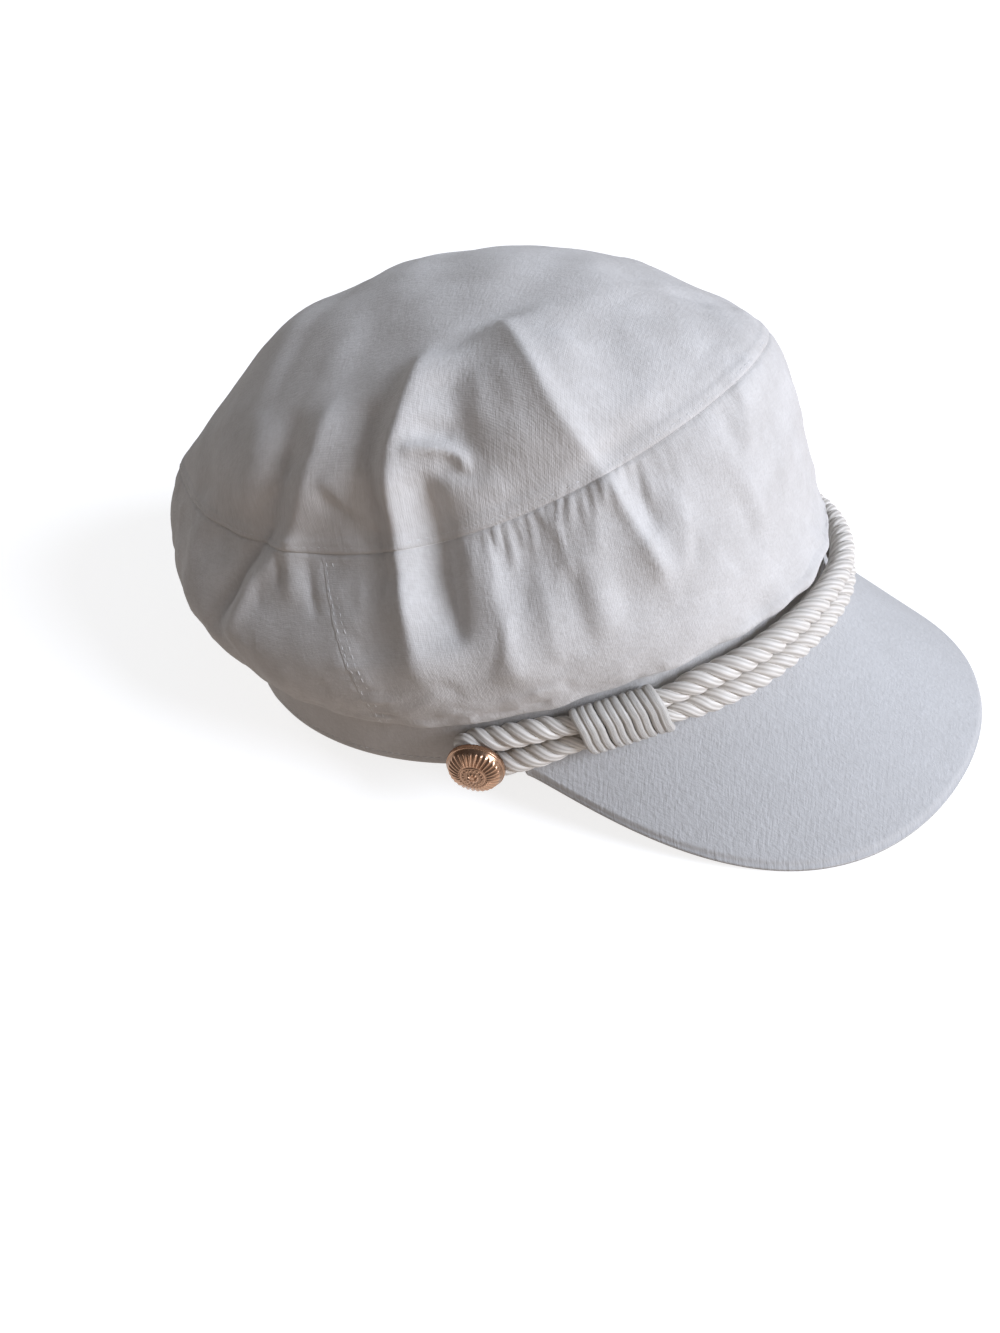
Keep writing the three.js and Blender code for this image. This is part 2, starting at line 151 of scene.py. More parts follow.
def band_point(angle, out=0.0, height=0.0):
    c, s = np.cos(angle), np.sin(angle)
    along_x = -HALF_WIDTH * (c - BAND_NARROWING * (c * c - s * s))
    along_y = HALF_LENGTH * s
    speed = np.hypot(along_x, along_y)
    x = -HALF_WIDTH * s * (1 - BAND_NARROWING * c) - out * along_y / speed
    y = -HALF_LENGTH * c + out * along_x / speed
    z = height + RIM_WAVE * np.cos(2 * angle)
    return np.stack(np.broadcast_arrays(x, y, z), -1)


def band_outward(angle):
    return unit(band_point(angle, 1.0) - band_point(angle))


def band_speed(angle):
    step = 0.001
    ahead, behind = band_point(angle + step), band_point(angle - step)
    return lengths_of(ahead - behind) / (2 * step)


# The crown's rings from the hem up: half width, half length in front and behind, height at the
# side, front and back, and how far the ring's middle lies behind the band's.
Ring = namedtuple("Ring", "side front rear high_side high_front high_back back")


def hem_ring(out_side, out_front, out_back, lift_side, lift_front, lift_back):
    return Ring(
        HALF_WIDTH + out_side, HALF_LENGTH + out_front, HALF_LENGTH + out_back,
        BAND_HEIGHT + lift_side - RIM_WAVE, BAND_HEIGHT + lift_front + RIM_WAVE,
        BAND_HEIGHT + lift_back + RIM_WAVE, 0.0,
    )


# Shares of HEM_OVERHANG and HEM_DROOP: lip, fold and roll.
HEM_RINGS = [
    (0.23, 0.1, 0.23, 0.3, 0.35, 0.3),
    (1.0, 0.42, 0.95, -0.2, 0.3, -0.2),
    (1.55, 0.55, 1.8, 2.8, 2.8, 3.6),
]
# Shares of the band's half width and half length and of CROWN_RISE: belly, seam, shoulder, dome
# and top.
CROWN_RINGS = [
    (1.1, 1.01, 1.147, 0.17, 0.21, 0.27, 0),
    (0.88, 0.918, 1.025, 0.432, 0.645, 0.553, 0.015),
    (0.795, 0.76, 0.925, 0.67, 0.765, 0.61, 0.025),
    (0.486, 0.455, 0.57, 0.868, 0.93, 0.855, 0.03),
    (0, 0, 0, 1, 1, 1, 0.03),
]
RINGS = [hem_ring(*[-BAND_WALL / 2] * 3, *[SEAT_GAP] * 3)]
for row in HEM_RINGS:
    RINGS.append(hem_ring(*np.multiply(row[:3], HEM_OVERHANG), *np.multiply(row[3:], HEM_DROOP)))
RINGS += [
    Ring(
        side * HALF_WIDTH, front * HALF_LENGTH, rear * HALF_LENGTH,
        BAND_HEIGHT + high_side * CROWN_RISE, BAND_HEIGHT + high_front * CROWN_RISE,
        BAND_HEIGHT + high_back * CROWN_RISE, back * HALF_LENGTH,
    )
    for side, front, rear, high_side, high_front, high_back, back in CROWN_RINGS
]


def ring_point(ring, angle):
    c, s = np.cos(angle), np.sin(angle)
    wave = ((ring.high_front + ring.high_back) / 2 - ring.high_side) / 2
    tilt = (ring.high_front - ring.high_back) / 2
    x = -ring.side * s * (1 - BAND_NARROWING * c)
    y = -np.where(c > 0, ring.front, ring.rear) * c + ring.back
    z = ring.high_side + wave + tilt * c + wave * np.cos(2 * angle)
    return np.stack([x, y, z], -1)


# Point of the crown's plain form. A meridian is a centripetal spline up through the rings, over
# the top and a little way down the other side. Row 5 is the seam and row 8 the top.
def plain_crown(angle, row):
    angle, row = np.broadcast_arrays(np.asarray(angle, float), np.asarray(row, float))
    knots = [ring_point(ring, angle) for ring in RINGS]
    knots += [ring_point(RINGS[TOP_ROW - k], angle + math.pi) for k in (1, 2)]
    knots = [2 * knots[0] - knots[1]] + knots + [2 * knots[-1] - knots[-2]]
    knots = np.stack(knots)
    below = np.clip(np.floor(row).astype(int), 0, len(knots) - 4)
    t = (row - below)[..., None]

    def knot(offset):
        index = np.broadcast_to((below + offset)[None, ..., None], (1,) + angle.shape + (3,))
        return np.take_along_axis(knots, index, 0)[0]

    p0, p1, p2, p3 = (knot(k) for k in range(4))
    d0, d1, d2 = (
        np.sqrt(np.linalg.norm(b - a, axis=-1, keepdims=True)) for a, b in ((p0, p1), (p1, p2), (p2, p3))
    )
    start = ((p1 - p0) / d0 - (p2 - p0) / (d0 + d1) + (p2 - p1) / d1) * d1
    end = ((p2 - p1) / d1 - (p3 - p1) / (d1 + d2) + (p3 - p2) / d2) * d1
    square = 3 * (p2 - p1) - 2 * start - end
    cube = 2 * (p1 - p2) + start + end
    return p1 + t * (start + t * (square + t * cube))


def round_speed(angle, row):
    step = 0.001
    ahead, behind = plain_crown(angle + step, row), plain_crown(angle - step, row)
    return lengths_of(ahead - behind) / (2 * step)


def upward_speed(angle, row):
    step = 0.01
    above, below = plain_crown(angle, row + step), plain_crown(angle, row - step)
    return lengths_of(above - below) / (2 * step)


def plain_outward(angle, row):
    step = 0.002
    row = np.minimum(row, TOP_ROW - 0.02)
    around = plain_crown(angle + step, row) - plain_crown(angle - step, row)
    up = plain_crown(angle, row + step) - plain_crown(angle, np.maximum(row - step, 0))
    return unit(np.cross(up, around))


# Folds of the slack cloth: a path of (degrees, row) pairs down the cloth, the widths of its two
# flanks (towards the front and towards the back) and its height in mm, below nought for a
# valley, and how sharp its crest is, from 1 sharp to 2 round.
Fold = namedtuple("Fold", "path front back height crest")
FOLDS = [
    # Main ridge over the side, with its broad head, and the pocket before it
    Fold(
        [
            (66, 7.0), (72, 6.55), (78, 6.2), (82, 5.9), (83.5, 5.4),
            (84, 4.9), (82.5, 4.4), (82, 3.9), (81.3, 3.5),
        ],
        5.4, 5.2, 5.6, 1.4,
    ),
    Fold([(66, 6.8), (70, 6.35), (72, 6.1)], 7, 9, 1.3, 2),
    Fold([(76.5, 5.85), (76, 5.5), (76.5, 5.0), (76, 4.6), (74.5, 4.1)], 9.0, 3.4, -4.2, 1.5),
    Fold(
        [(79, 5.98), (75.5, 5.98), (72.5, 5.94), (69, 5.86), (67, 5.72), (69, 5.55)],
        1.7, 1.6, 2.5, 1.4,
    ),
    Fold([(75, 6.12), (71, 6.08), (68, 6.0)], 2.2, 2.2, -0.8, 2),
    Fold([(69.5, 5.0), (69, 4.6), (67.5, 4.2), (67.5, 3.8), (67, 3.5)], 7.5, 3.4, 1.9, 1.6),
    # Valleys and soft ridges behind the main ridge
    Fold([(86.5, 6.6), (87, 6.15), (88, 5.8), (88, 5.35), (86.5, 4.9)], 4.5, 6, -3.0, 1.7),
    Fold(
        [(95.5, 6.75), (97, 6.4), (97, 6.0), (101, 5.6), (105, 5.15), (105.5, 4.85), (103.5, 4.4)],
        5, 5, 2.5, 1.6,
    ),
    Fold([(107, 6.6), (106, 6.2), (107, 5.8), (111, 5.35), (115, 5.0)], 5, 6, -2.2, 1.9),
    Fold([(121, 6.6), (115, 6.2), (114, 5.8), (120, 5.3)], 6, 7, 1.5, 2),
    Fold([(96, 5.95), (94, 5.65), (91, 5.4), (88, 5.2)], 2.4, 2.8, 1.3, 1.5),
    Fold([(98, 5.75), (94.5, 5.55), (90.5, 5.35), (87, 4.95), (86, 4.6)], 2.6, 3.2, -1.8, 1.5),
    Fold([(108, 5.4), (113, 5.1), (118, 4.7), (122, 4.25), (126, 3.7)], 3.0, 5.0, -3.6, 1.4),
    Fold([(102, 5.3), (108, 5.0), (113, 4.65), (117, 4.2), (120, 3.7)], 5.5, 4.0, 2.4, 1.7),
    Fold([(108, 5.0), (107.5, 4.85), (107, 4.6)], 1.6, 1.6, -0.9, 1.6),
    Fold([(102.5, 5.0), (101, 4.7), (99, 4.4)], 2, 2, -0.9, 1.6),
    Fold([(133, 5.6), (131, 5.0), (134, 4.4), (136, 3.9)], 6, 6, 1.3, 2),
    # Front ridge: a sharp crest, a long flank rising to it from the pocket, and its end below the
    # seam with a hollow before it
    Fold(
        [
            (46.5, 7.0), (46.5, 6.7), (47.7, 6.4), (49, 6.1), (49, 5.8), (48.5, 5.5),
            (48, 5.2), (47.5, 5.0), (46.5, 4.78), (44.5, 4.55), (42.5, 4.32), (41, 4.1),
        ],
        10, 3.0, 2.3, 1.25,
    ),
    Fold([(45, 6.95), (46.5, 6.4), (48, 5.9), (48, 5.4), (47, 5.05)], 17, 15, 4.4, 1.35),
    Fold(
        [(46.3, 6.95), (47.5, 6.45), (49, 6.1), (49, 5.8), (48.4, 5.45), (48, 5.15)],
        2.8, 2.2, 0.8, 1.4,
    ),
    Fold(
        [(48, 5.12), (47.3, 4.95), (46.2, 4.77), (44.7, 4.57), (42.9, 4.35), (41.6, 4.15)],
        3.2, 3.0, 2.1, 1.35,
    ),
    Fold([(67, 6.55), (66.5, 6.1), (67.5, 5.8), (70, 5.45)], 7, 5, -1.8, 2),
    Fold([(42.5, 5.0), (43.3, 4.84), (42.8, 4.68), (41.3, 4.5)], 6.5, 2.2, -2.0, 1.7),
    Fold([(34, 5.0), (35.5, 4.75), (37.5, 4.5), (37, 4.25)], 5, 3, 0.8, 1.7),
    Fold([(36, 4.45), (36, 4.25)], 1.8, 1.8, -0.6, 2),
    # Soft folds down the side and the front
    Fold([(62, 4.75), (61, 4.4), (61, 4.0), (60, 3.6)], 3, 3, 0.7, 1.8),
    Fold([(57, 4.6), (56, 4.1), (55.5, 3.7)], 3.5, 3, -0.7, 1.8),
    Fold([(55, 4.7), (53, 4.3), (52.5, 3.9)], 4, 4, 0.7, 2),
    Fold([(50, 4.6), (49, 4.2), (48, 3.8)], 4, 4, -0.6, 2),
    Fold([(26.5, 5.0), (25, 4.7), (22, 4.4), (21, 4.1)], 3.5, 3.5, 0.9, 1.8),
    Fold([(22, 5.0), (23.5, 4.8), (23, 4.5)], 3, 3, -0.6, 1.8),
    Fold([(15.5, 5.05), (18, 4.85), (20, 4.6)], 3, 3, 0.7, 1.8),
    Fold([(11, 5.05), (12, 4.75), (12, 4.4)], 4, 4, -0.7, 1.8),
    Fold([(30, 6.9), (31, 6.4), (34, 5.9), (36, 5.4)], 7, 7, -0.9, 2),
    Fold([(12, 6.5), (14, 6.0), (14, 5.5)], 8, 8, 0.7, 2),
    # Back and far side
    Fold([(150, 6.4), (154, 5.4), (157, 4.4), (158, 3.4)], 9, 9, 2.4, 1.8),
    Fold([(168, 6.0), (170, 5.0), (169, 4.0)], 6, 7, -1.8, 1.8),
    Fold([(-174, 6.3), (-171, 5.2), (-174, 4.2), (-176, 3.4)], 8, 8, 1.5, 1.9),
    Fold([(-160, 6.2), (-163, 5.1), (-161, 4.0)], 6, 6, -1.8, 1.7),
    Fold([(-138, 6.6), (-142, 5.6), (-147, 4.6), (-150, 3.5)], 7, 8, 2.8, 1.7),
    Fold([(-126, 6.3), (-129, 5.3), (-134, 4.3)], 5, 5, -1.6, 1.7),
    Fold([(-118, 5.2), (-114, 4.6), (-108, 3.9)], 4, 4, 1.2, 1.6),
    Fold([(-84, 6.9), (-87, 6.0), (-90, 5.0), (-92, 3.8)], 5.5, 6, 3.4, 1.6),
    Fold([(-100, 6.5), (-103, 5.5), (-107, 4.5), (-108, 3.6)], 6, 5, -2.4, 1.7),
    Fold([(-76, 6.2), (-78, 5.2), (-77, 4.3)], 4.5, 4.5, -1.9, 1.7),
    Fold([(-62, 6.6), (-60, 5.6), (-58, 4.5)], 6, 6, -1.7, 1.8),
    Fold([(-50, 6.9), (-47, 6.0), (-43, 5.0), (-38, 4.1)], 5, 7, 2.2, 1.6),
    Fold([(-30, 5.1), (-31, 4.6), (-29, 4.0)], 4, 4, -0.9, 1.8),
    Fold([(-20, 5.05), (-21, 4.6), (-19, 4.1)], 4, 4, 0.8, 1.8),
    Fold([(-6, 5.0), (-5, 4.6), (-6, 4.1)], 4, 4, 0.6, 1.8),
]
FOLD_STEPS = 14
FOLD_REACH = 2.6
FOLD_END_SHARE = 0.14
FOLD_FULLNESS = 0.6


# A smooth path through a few points, as so many points at even steps.
def smooth_path(points, count):
    points = np.asarray(points, float)
    along = along_line(points)
    wanted = np.linspace(0, along[-1], count)
    coarse = np.stack([np.interp(wanted, along, column) for column in points.T], -1)
    for _ in range(3):
        coarse[1:-1] = (coarse[:-2] + 2 * coarse[1:-1] + coarse[2:]) / 4
    return coarse


def add_fold(relief, points, outward, fold):
    degrees, rows = np.transpose(fold.path)
    line = smooth_path(plain_crown(np.radians(degrees), rows), FOLD_STEPS)
    reach = FOLD_REACH * max(fold.front, fold.back) * MM
    low, high = line.min(0) - reach, line.max(0) + reach
    near = np.nonzero(((points > low) & (points < high)).all(1))[0]
    if not len(near):
        return
    here = points[near]
    best = np.full(len(near), np.inf)
    offset = np.zeros((len(near), 3))
    tangent = np.zeros((len(near), 3))
    along = np.zeros(len(near))
    for k in range(FOLD_STEPS - 1):
        a, b = line[k], line[k + 1]
        span = b - a
        t = np.clip(((here - a) @ span) / (span @ span), 0, 1)
        away = here - a - t[:, None] * span
        distance = lengths_of(away)
        closer = distance < best
        best[closer] = distance[closer]
        offset[closer] = away[closer]
        tangent[closer] = span / np.linalg.norm(span)
        along[closer] = (k + t[closer]) / (FOLD_STEPS - 1)
    side = np.einsum("ij,ij->i", np.cross(tangent, outward[near]), offset)
    width = np.where(side > 0, fold.front, fold.back) * MM
    ends = smoothstep(np.minimum(along, 1 - along), 0, FOLD_END_SHARE)
    fade = np.sin(math.pi * np.clip(along, 0, 1)) ** FOLD_FULLNESS * ends
    relief[near] += fold.height * MM * fade * np.exp(-((best / width) ** fold.crest))


# Small folds scattered from a seed: ranges of degrees and rows, the spread of the lean in degrees,
# ranges of length in rows and of width and height in mm, the rear flank's share and the crest.
Scatter = namedtuple("Scatter", "seed count mirrored angles rows lean lengths widths heights flanks crest")
WRINKLES = Scatter(
    7, 260, False, (-180, 180), (2.4, 6.4), 5, (0.25, 0.6), (1.4, 3.0), (0.12, 0.48), (0.7, 1.4), 1.7
)
CRUMPLES = Scatter(
    41, 110, True, (35, 150), (2.5, 5.0), 6, (0.12, 0.4), (0.8, 1.6), (0.12, 0.36), (0.7, 1.6), 1.6
)


def scattered_folds(kind):
    draw = np.random.default_rng(kind.seed)
    folds = []
    for _ in range(kind.count):
        side = draw.choice([-1, 1]) if kind.mirrored else 1
        angle = side * draw.uniform(*kind.angles)
        row = draw.uniform(*kind.rows)
        lean = draw.normal(0, kind.lean)
        length = draw.uniform(*kind.lengths)
        width = draw.uniform(*kind.widths)
        height = draw.choice([-1, 1]) * draw.uniform(*kind.heights)
        middle = (angle + draw.normal(0, 1), row)
        path = [(angle - lean / 2, row + length / 2), middle, (angle + lean / 2, row - length / 2)]
        folds.append(Fold(path, width, width * draw.uniform(*kind.flanks), height, kind.crest))
    return folds


# A slow unevenness all over the cloth.
UNEVEN_WAVES = 26
UNEVEN_LENGTHS = (9, 34)
UNEVEN_SHARE = 0.0036


def unevenness(points):
    draw = np.random.default_rng(3)
    total = np.zeros(len(points))
    for _ in range(UNEVEN_WAVES):
        length = draw.uniform(*UNEVEN_LENGTHS) * MM
        direction = unit(draw.normal(size=3) * [1, 1, 0.7])
        total += length * np.sin(points @ direction * 2 * math.pi / length + draw.uniform(0, 2 * math.pi))
    return total * UNEVEN_SHARE


# Gathers at the seam round the top: short little folds below it and shorter ones above it. They
# are strongest over the two sides of the front, between about 40 and 70 degrees.
GATHER_SPACING = 3.1 * MM
GATHERED_MIDDLE = 56
GATHERED_REACH = 15
GATHER_CREST = 1.8
RIM_STEPS = 721


def gathers():
    draw = np.random.default_rng(11)
    turns = np.linspace(0, 2 * math.pi, RIM_STEPS)
    around = along_line(plain_crown(turns, float(SEAM_ROW)))
    folds = []
    place = 0.0
    while place < around[-1] - GATHER_SPACING:
        place += GATHER_SPACING * draw.uniform(0.7, 1.35)
        degrees = math.degrees(np.interp(place, around, turns))
        if degrees > 180:
            degrees -= 360
        strong = math.exp(-(((abs(degrees) - GATHERED_MIDDLE) / GATHERED_REACH) ** 4))
        height = draw.uniform(0.06, 0.18) + strong * draw.uniform(0.5, 1.05)
        lean = draw.normal(0.3, 1.1)
        reach = draw.uniform(0.11, 0.22) + 0.16 * (draw.random() < 0.2)
        width = draw.uniform(0.55, 0.95)
        low = SEAM_ROW - 0.03
        middle = (degrees + lean * 0.4, low - reach * 0.4)
        path = [(degrees, SEAM_ROW + 0.035), middle, (degrees + lean, low - reach)]
        folds.append(Fold(path, width, width * draw.uniform(0.8, 1.5), height, GATHER_CREST))
        if draw.random() < 0.4:
            above = [(degrees, SEAM_ROW), (degrees - lean * 0.5, SEAM_ROW + 0.12)]
            folds.append(Fold(above, width, width, height * 0.3, GATHER_CREST))
    return folds


# The side seams lean: degrees back at the hem and at the top, the rows between which they lean
# over, the rows above the seam in which this dies away, and how far round it reaches.
SEAM_LEAN = (-3.5, 3.0)
LEAN_ROWS = (3.7, 5.3)
LEAN_END_ROWS = (5.3, 7.0)
LEAN_REACH = math.radians(22)
PUCKER_ROWS = np.arange(2.9, 4.95, 0.11)


def seam_lean(row):
    return lerp(*SEAM_LEAN, smoothstep(row, *LEAN_ROWS))


def leaning(angle, row):
    turn = turn_from(angle)
    lean = seam_lean(row) * (1 - smoothstep(row, *LEAN_END_ROWS))
    near = bell(np.abs(turn) - SIDE_SEAM, LEAN_REACH)
    return angle + np.sign(turn) * math.radians(1) * lean * near


# Puckers across the upright side seams.
def side_seam_puckers():
    draw = np.random.default_rng(29)
    folds = []
    for side in (1, -1):
        for row in PUCKER_ROWS:
            middle = math.degrees(SIDE_SEAM) + seam_lean(row)
            ahead = middle - draw.uniform(3, 7)
            behind = middle + draw.uniform(0.5, 3)
            slope = draw.normal(0.03, 0.05)
            width = draw.uniform(0.7, 1.2)
            height = draw.choice([-1, 1]) * draw.uniform(0.2, 0.5)
            path = [(side * ahead, row + slope), (side * middle, row), (side * behind, row - slope * 0.4)]
            folds.append(Fold(path, width, width, height, GATHER_CREST))
    return folds


ALL_FOLDS = FOLDS + scattered_folds(WRINKLES) + scattered_folds(CRUMPLES)
ALL_FOLDS += gathers() + side_seam_puckers()


def cloth_relief(points, outward, folds):
    flat = points.reshape(-1, 3)
    normals = outward.reshape(-1, 3)
    relief = unevenness(flat)
    for fold in folds:
        add_fold(relief, flat, normals, fold)
    return relief.reshape(points.shape[:-1])


# Small forms sewn into the cloth: distances in metres from a seam to the edge of what it raises.
SEAM_GROOVE = 0.45 * MM
SEAM_GROOVE_WIDTH = 0.4 * MM
SEAM_WELT = 0.3 * MM
SEAM_ALLOWANCE = 5.5 * MM
SIDE_GROOVE_SHARE = 0.12
SIDE_WELT_SHARE = 0.45
TOPSTITCH_AWAY = 2.0 * MM
TOPSTITCH_SINK = 0.2 * MM
STITCH_SINK_WIDTH = 0.45 * MM
SIDE_STITCH_ROWS = (1.2 * MM, 3.6 * MM)
SIDE_SEWN_ROWS = (1.0, 1.6, 4.985, 5.0)
SIDE_ALLOWANCE = (4.4 * MM, 6 * MM)
PUCKER_COUNT = 190
PUCKER_HEIGHT = 0.13 * MM


def groove(distance):
    return -SEAM_GROOVE * bell(distance, SEAM_GROOVE_WIDTH)


def stitch_sink(distance):
    return -TOPSTITCH_SINK * bell(distance, STITCH_SINK_WIDTH)


def seam_relief(angle, row):
    up = (row - SEAM_ROW) * upward_speed(angle, float(SEAM_ROW))
    relief = groove(up)
    beat = np.sin(PUCKER_COUNT * angle + 2.1 * np.sin(23 * angle) + 900 * up)
    beat = beat * (0.6 + 0.4 * np.sin(9 * angle))
    relief += PUCKER_HEIGHT * beat * plateau(up, 0, 0.5 * MM, TOPSTITCH_AWAY, TOPSTITCH_AWAY + 1.2 * MM)
    relief += SEAM_WELT * plateau(up, 0, 0.7 * MM, SEAM_ALLOWANCE - 2 * MM, SEAM_ALLOWANCE)
    relief += stitch_sink(up - TOPSTITCH_AWAY)
    sewn = plateau(row, *SIDE_SEWN_ROWS)
    for side in (1, -1):
        ahead = -side * turn_from(angle, side * SIDE_SEAM) * round_speed(angle, row)
        relief += sewn * groove(ahead) * SIDE_GROOVE_SHARE
        relief += sewn * SEAM_WELT * SIDE_WELT_SHARE * plateau(ahead, 0, 0.6 * MM, *SIDE_ALLOWANCE)
        for away in SIDE_STITCH_ROWS:
            relief += sewn * stitch_sink(ahead - away)
    return relief


# How the worn crown sags and swells as a whole: where, the half widths in degrees and rows, and
# how far out in millimetres.
Sag = namedtuple("Sag", "degrees row half_angle half_row out")
SAGS = [
    Sag(160, 7.3, 26, 0.6, 1.9),
    Sag(-6, 3.8, 26, 0.85, -3.0),
    Sag(17, 2.0, 18, 0.9, 2.4),
    Sag(-24, 3.0, 20, 0.8, -1.0),
    Sag(80, 1.85, 22, 0.6, 1.7),
    Sag(-78, 2.3, 24, 0.7, 1.2),
    Sag(150, 4.0, 25, 1.2, 1.2),
]
CALM_ROWS = (7.1, TOP_ROW)
HEM_WAVES = 14
HEM_WAVE = 0.12 * MM
HEM_WAVE_ROWS = (0.8, 1.8, 2.6, 3.8)


def settling(angle, row):
    out = np.zeros(np.broadcast(angle, row).shape)
    for sag in SAGS:
        turn = turn_from(angle, math.radians(sag.degrees))
        near = bell(turn, math.radians(sag.half_angle)) * bell(row - sag.row, sag.half_row)
        out = out + sag.out * MM * near
    draw = np.random.default_rng(23)
    low = plateau(row, *HEM_WAVE_ROWS)
    for _ in range(HEM_WAVES):
        count = draw.integers(14, 46)
        phase = draw.uniform(0, 2 * math.pi)
        height = HEM_WAVE * draw.uniform(0.3, 1)
        out = out + low * height * np.sin(count * angle + phase + row * draw.normal(0, 1))
    return out * (1 - smoothstep(row, *CALM_ROWS))


# Where the hem sits higher on the band: degrees, half width in degrees and how far up.
HEM_LIFTS = [(62, 30, 2.0 * MM), (130, 38, 3.4 * MM)]
LIFTED_ROWS = (0.7, 2.0, 2.8, 4.5)


def hem_lift(angle, row):
    turn = np.degrees(np.abs(turn_from(angle)))
    up = sum(height * bell(turn - middle, half) for middle, half, height in HEM_LIFTS)
    up = up * plateau(row, *LIFTED_ROWS)
    return up[..., None] * np.array([0.0, 0.0, 1.0])


# Rows in which the folds die away towards the hem, and those in which the share left of them does.
FADE_OUT_ROWS = (1.6, 2.5)
EDGE_ROWS = (0.2, 1.0)
EDGE_SHARE = 0.15
OUTWARD_LIMIT = TOP_ROW - 0.08


def crown_surface(angle, row, folds, fade, sewn):
    place = leaning(angle, row)
    points = plain_crown(place, row)
    outward = plain_outward(place, np.minimum(row, OUTWARD_LIMIT))
    relief = cloth_relief(points, outward, folds) * fade + sewn + settling(place, row)
    return points + outward * relief[..., None] + hem_lift(place, row)


def crown_skin(angle, row):
    angle, row = np.broadcast_arrays(np.asarray(angle, float), np.asarray(row, float))
    fade = lerp(smoothstep(row, *FADE_OUT_ROWS), smoothstep(row, *EDGE_ROWS), EDGE_SHARE)
    return crown_surface(angle, row, ALL_FOLDS, fade, seam_relief(angle, row))


def crown_lining_side(angle, row):
    angle, row = np.broadcast_arrays(np.asarray(angle, float), np.asarray(row, float))
    return crown_surface(angle, row, FOLDS, smoothstep(row, *FADE_OUT_ROWS), -CROWN_WALL)


# Materials
def node_material(name, color, roughness, metallic=0.0):
    material = bpy.data.materials.new(name)
    material.use_nodes = True
    shader = material.node_tree.nodes["Principled BSDF"]
    shader.inputs["Base Color"].default_value = (*color, 1)
    shader.inputs["Roughness"].default_value = roughness
    shader.inputs["Metallic"].default_value = metallic
    return material, material.node_tree.nodes, material.node_tree.links, shader


def add_node(nodes, kind, **settings):
    node = nodes.new(kind)
    for key, value in settings.items():
        if key in node.inputs:
            node.inputs[key].default_value = value
        else:
            setattr(node, key, value)
    return node


def mix_colors(nodes, links, factor, first, second):
    mix = nodes.new("ShaderNodeMix")
    mix.data_type = "RGBA"
    mix.inputs[6].default_value = (*first, 1)
    mix.inputs[7].default_value = (*second, 1)
    links.new(factor, mix.inputs[0])
    return mix


def stretched_noise(nodes, links, scale, stretch, detail=2.0):
    uv = nodes.new("ShaderNodeUVMap")
    mapping = nodes.new("ShaderNodeMapping")
    mapping.inputs["Scale"].default_value = stretch
    links.new(uv.outputs[0], mapping.inputs[0])
    noise = add_node(nodes, "ShaderNodeTexNoise", Scale=scale, Detail=detail, Roughness=0.6)
    links.new(mapping.outputs[0], noise.inputs["Vector"])
    return noise


def math_node(nodes, links, operation, first, second):
    node = nodes.new("ShaderNodeMath")
    node.operation = operation
    for k, value in enumerate((first, second)):
        if isinstance(value, (int, float)):
            node.inputs[k].default_value = value
        else:
            links.new(value, node.inputs[k])
    return node.outputs[0]


def map_range(nodes, links, value, start, end, low=0.0, high=1.0):
    node = nodes.new("ShaderNodeMapRange")
    for key, setting in (("From Min", start), ("From Max", end), ("To Min", low), ("To Max", high)):
        node.inputs[key].default_value = setting
    links.new(value, node.inputs["Value"])
    return node.outputs[0]


# A bump from a height, and a colour between dark and light from a share.
def dress(nodes, links, shader, height, strength, depth, share, dark, light):
    bump = add_node(nodes, "ShaderNodeBump", Strength=strength, Distance=depth)
    links.new(height, bump.inputs["Height"])
    links.new(bump.outputs[0], shader.inputs["Normal"])
    mix = mix_colors(nodes, links, share, dark, light)
    links.new(mix.outputs[2], shader.inputs["Base Color"])


# The scale of a wave texture that repeats once in a millimetre of the UV map.
WAVE_PER_MM = 0.314
CLOTH_BUMP = 0.22 * MM
CORD_BUMP = 0.28 * MM


# Woven cloth: threads along and across the piece, slightly uneven in thickness and colour. The
# UV map is in millimetres.
def cloth_material(name, light, dark, thread, strength, roughness, mottle=0.5, woven=0.16):
    material, nodes, links, shader = node_material(name, light, roughness)
    shader.inputs["Sheen Weight"].default_value = 0.12
    shader.inputs["Sheen Roughness"].default_value = 0.5
    shader.inputs["Specular IOR Level"].default_value = 0.25
    along = stretched_noise(nodes, links, 1.0, (1.4, 0.5, 1), 5)
    across = stretched_noise(nodes, links, 1.0, (0.5, 1.4, 1), 5)
    uv = nodes.new("ShaderNodeUVMap")
    weave = []
    for direction in ("X", "Y"):
        wave = add_node(nodes, "ShaderNodeTexWave", Scale=WAVE_PER_MM / thread, Distortion=0.6, Detail=1)
        wave.bands_direction = direction
        links.new(uv.outputs[0], wave.inputs["Vector"])
        weave.append(wave.outputs["Fac"])
    threads = math_node(nodes, links, "MULTIPLY", weave[0], weave[1])
    slubs = math_node(nodes, links, "ADD", along.outputs["Fac"], across.outputs["Fac"])
    raised = math_node(nodes, links, "MULTIPLY", threads, woven)
    height = math_node(nodes, links, "ADD", raised, slubs)
    coordinates = nodes.new("ShaderNodeTexCoord")
    patches = add_node(nodes, "ShaderNodeTexNoise", Scale=80.0, Detail=6.0, Roughness=0.66)
    links.new(coordinates.outputs["Object"], patches.inputs["Vector"])
    broad = math_node(nodes, links, "MULTIPLY", patches.outputs["Fac"], mottle)
    fine = math_node(nodes, links, "MULTIPLY", slubs, 0.5 * (1 - mottle))
    blend = math_node(nodes, links, "ADD", broad, fine)
    share = map_range(nodes, links, blend, 0.38, 0.62)
    dress(nodes, links, shader, height, strength, CLOTH_BUMP, share, dark, light)
    return material


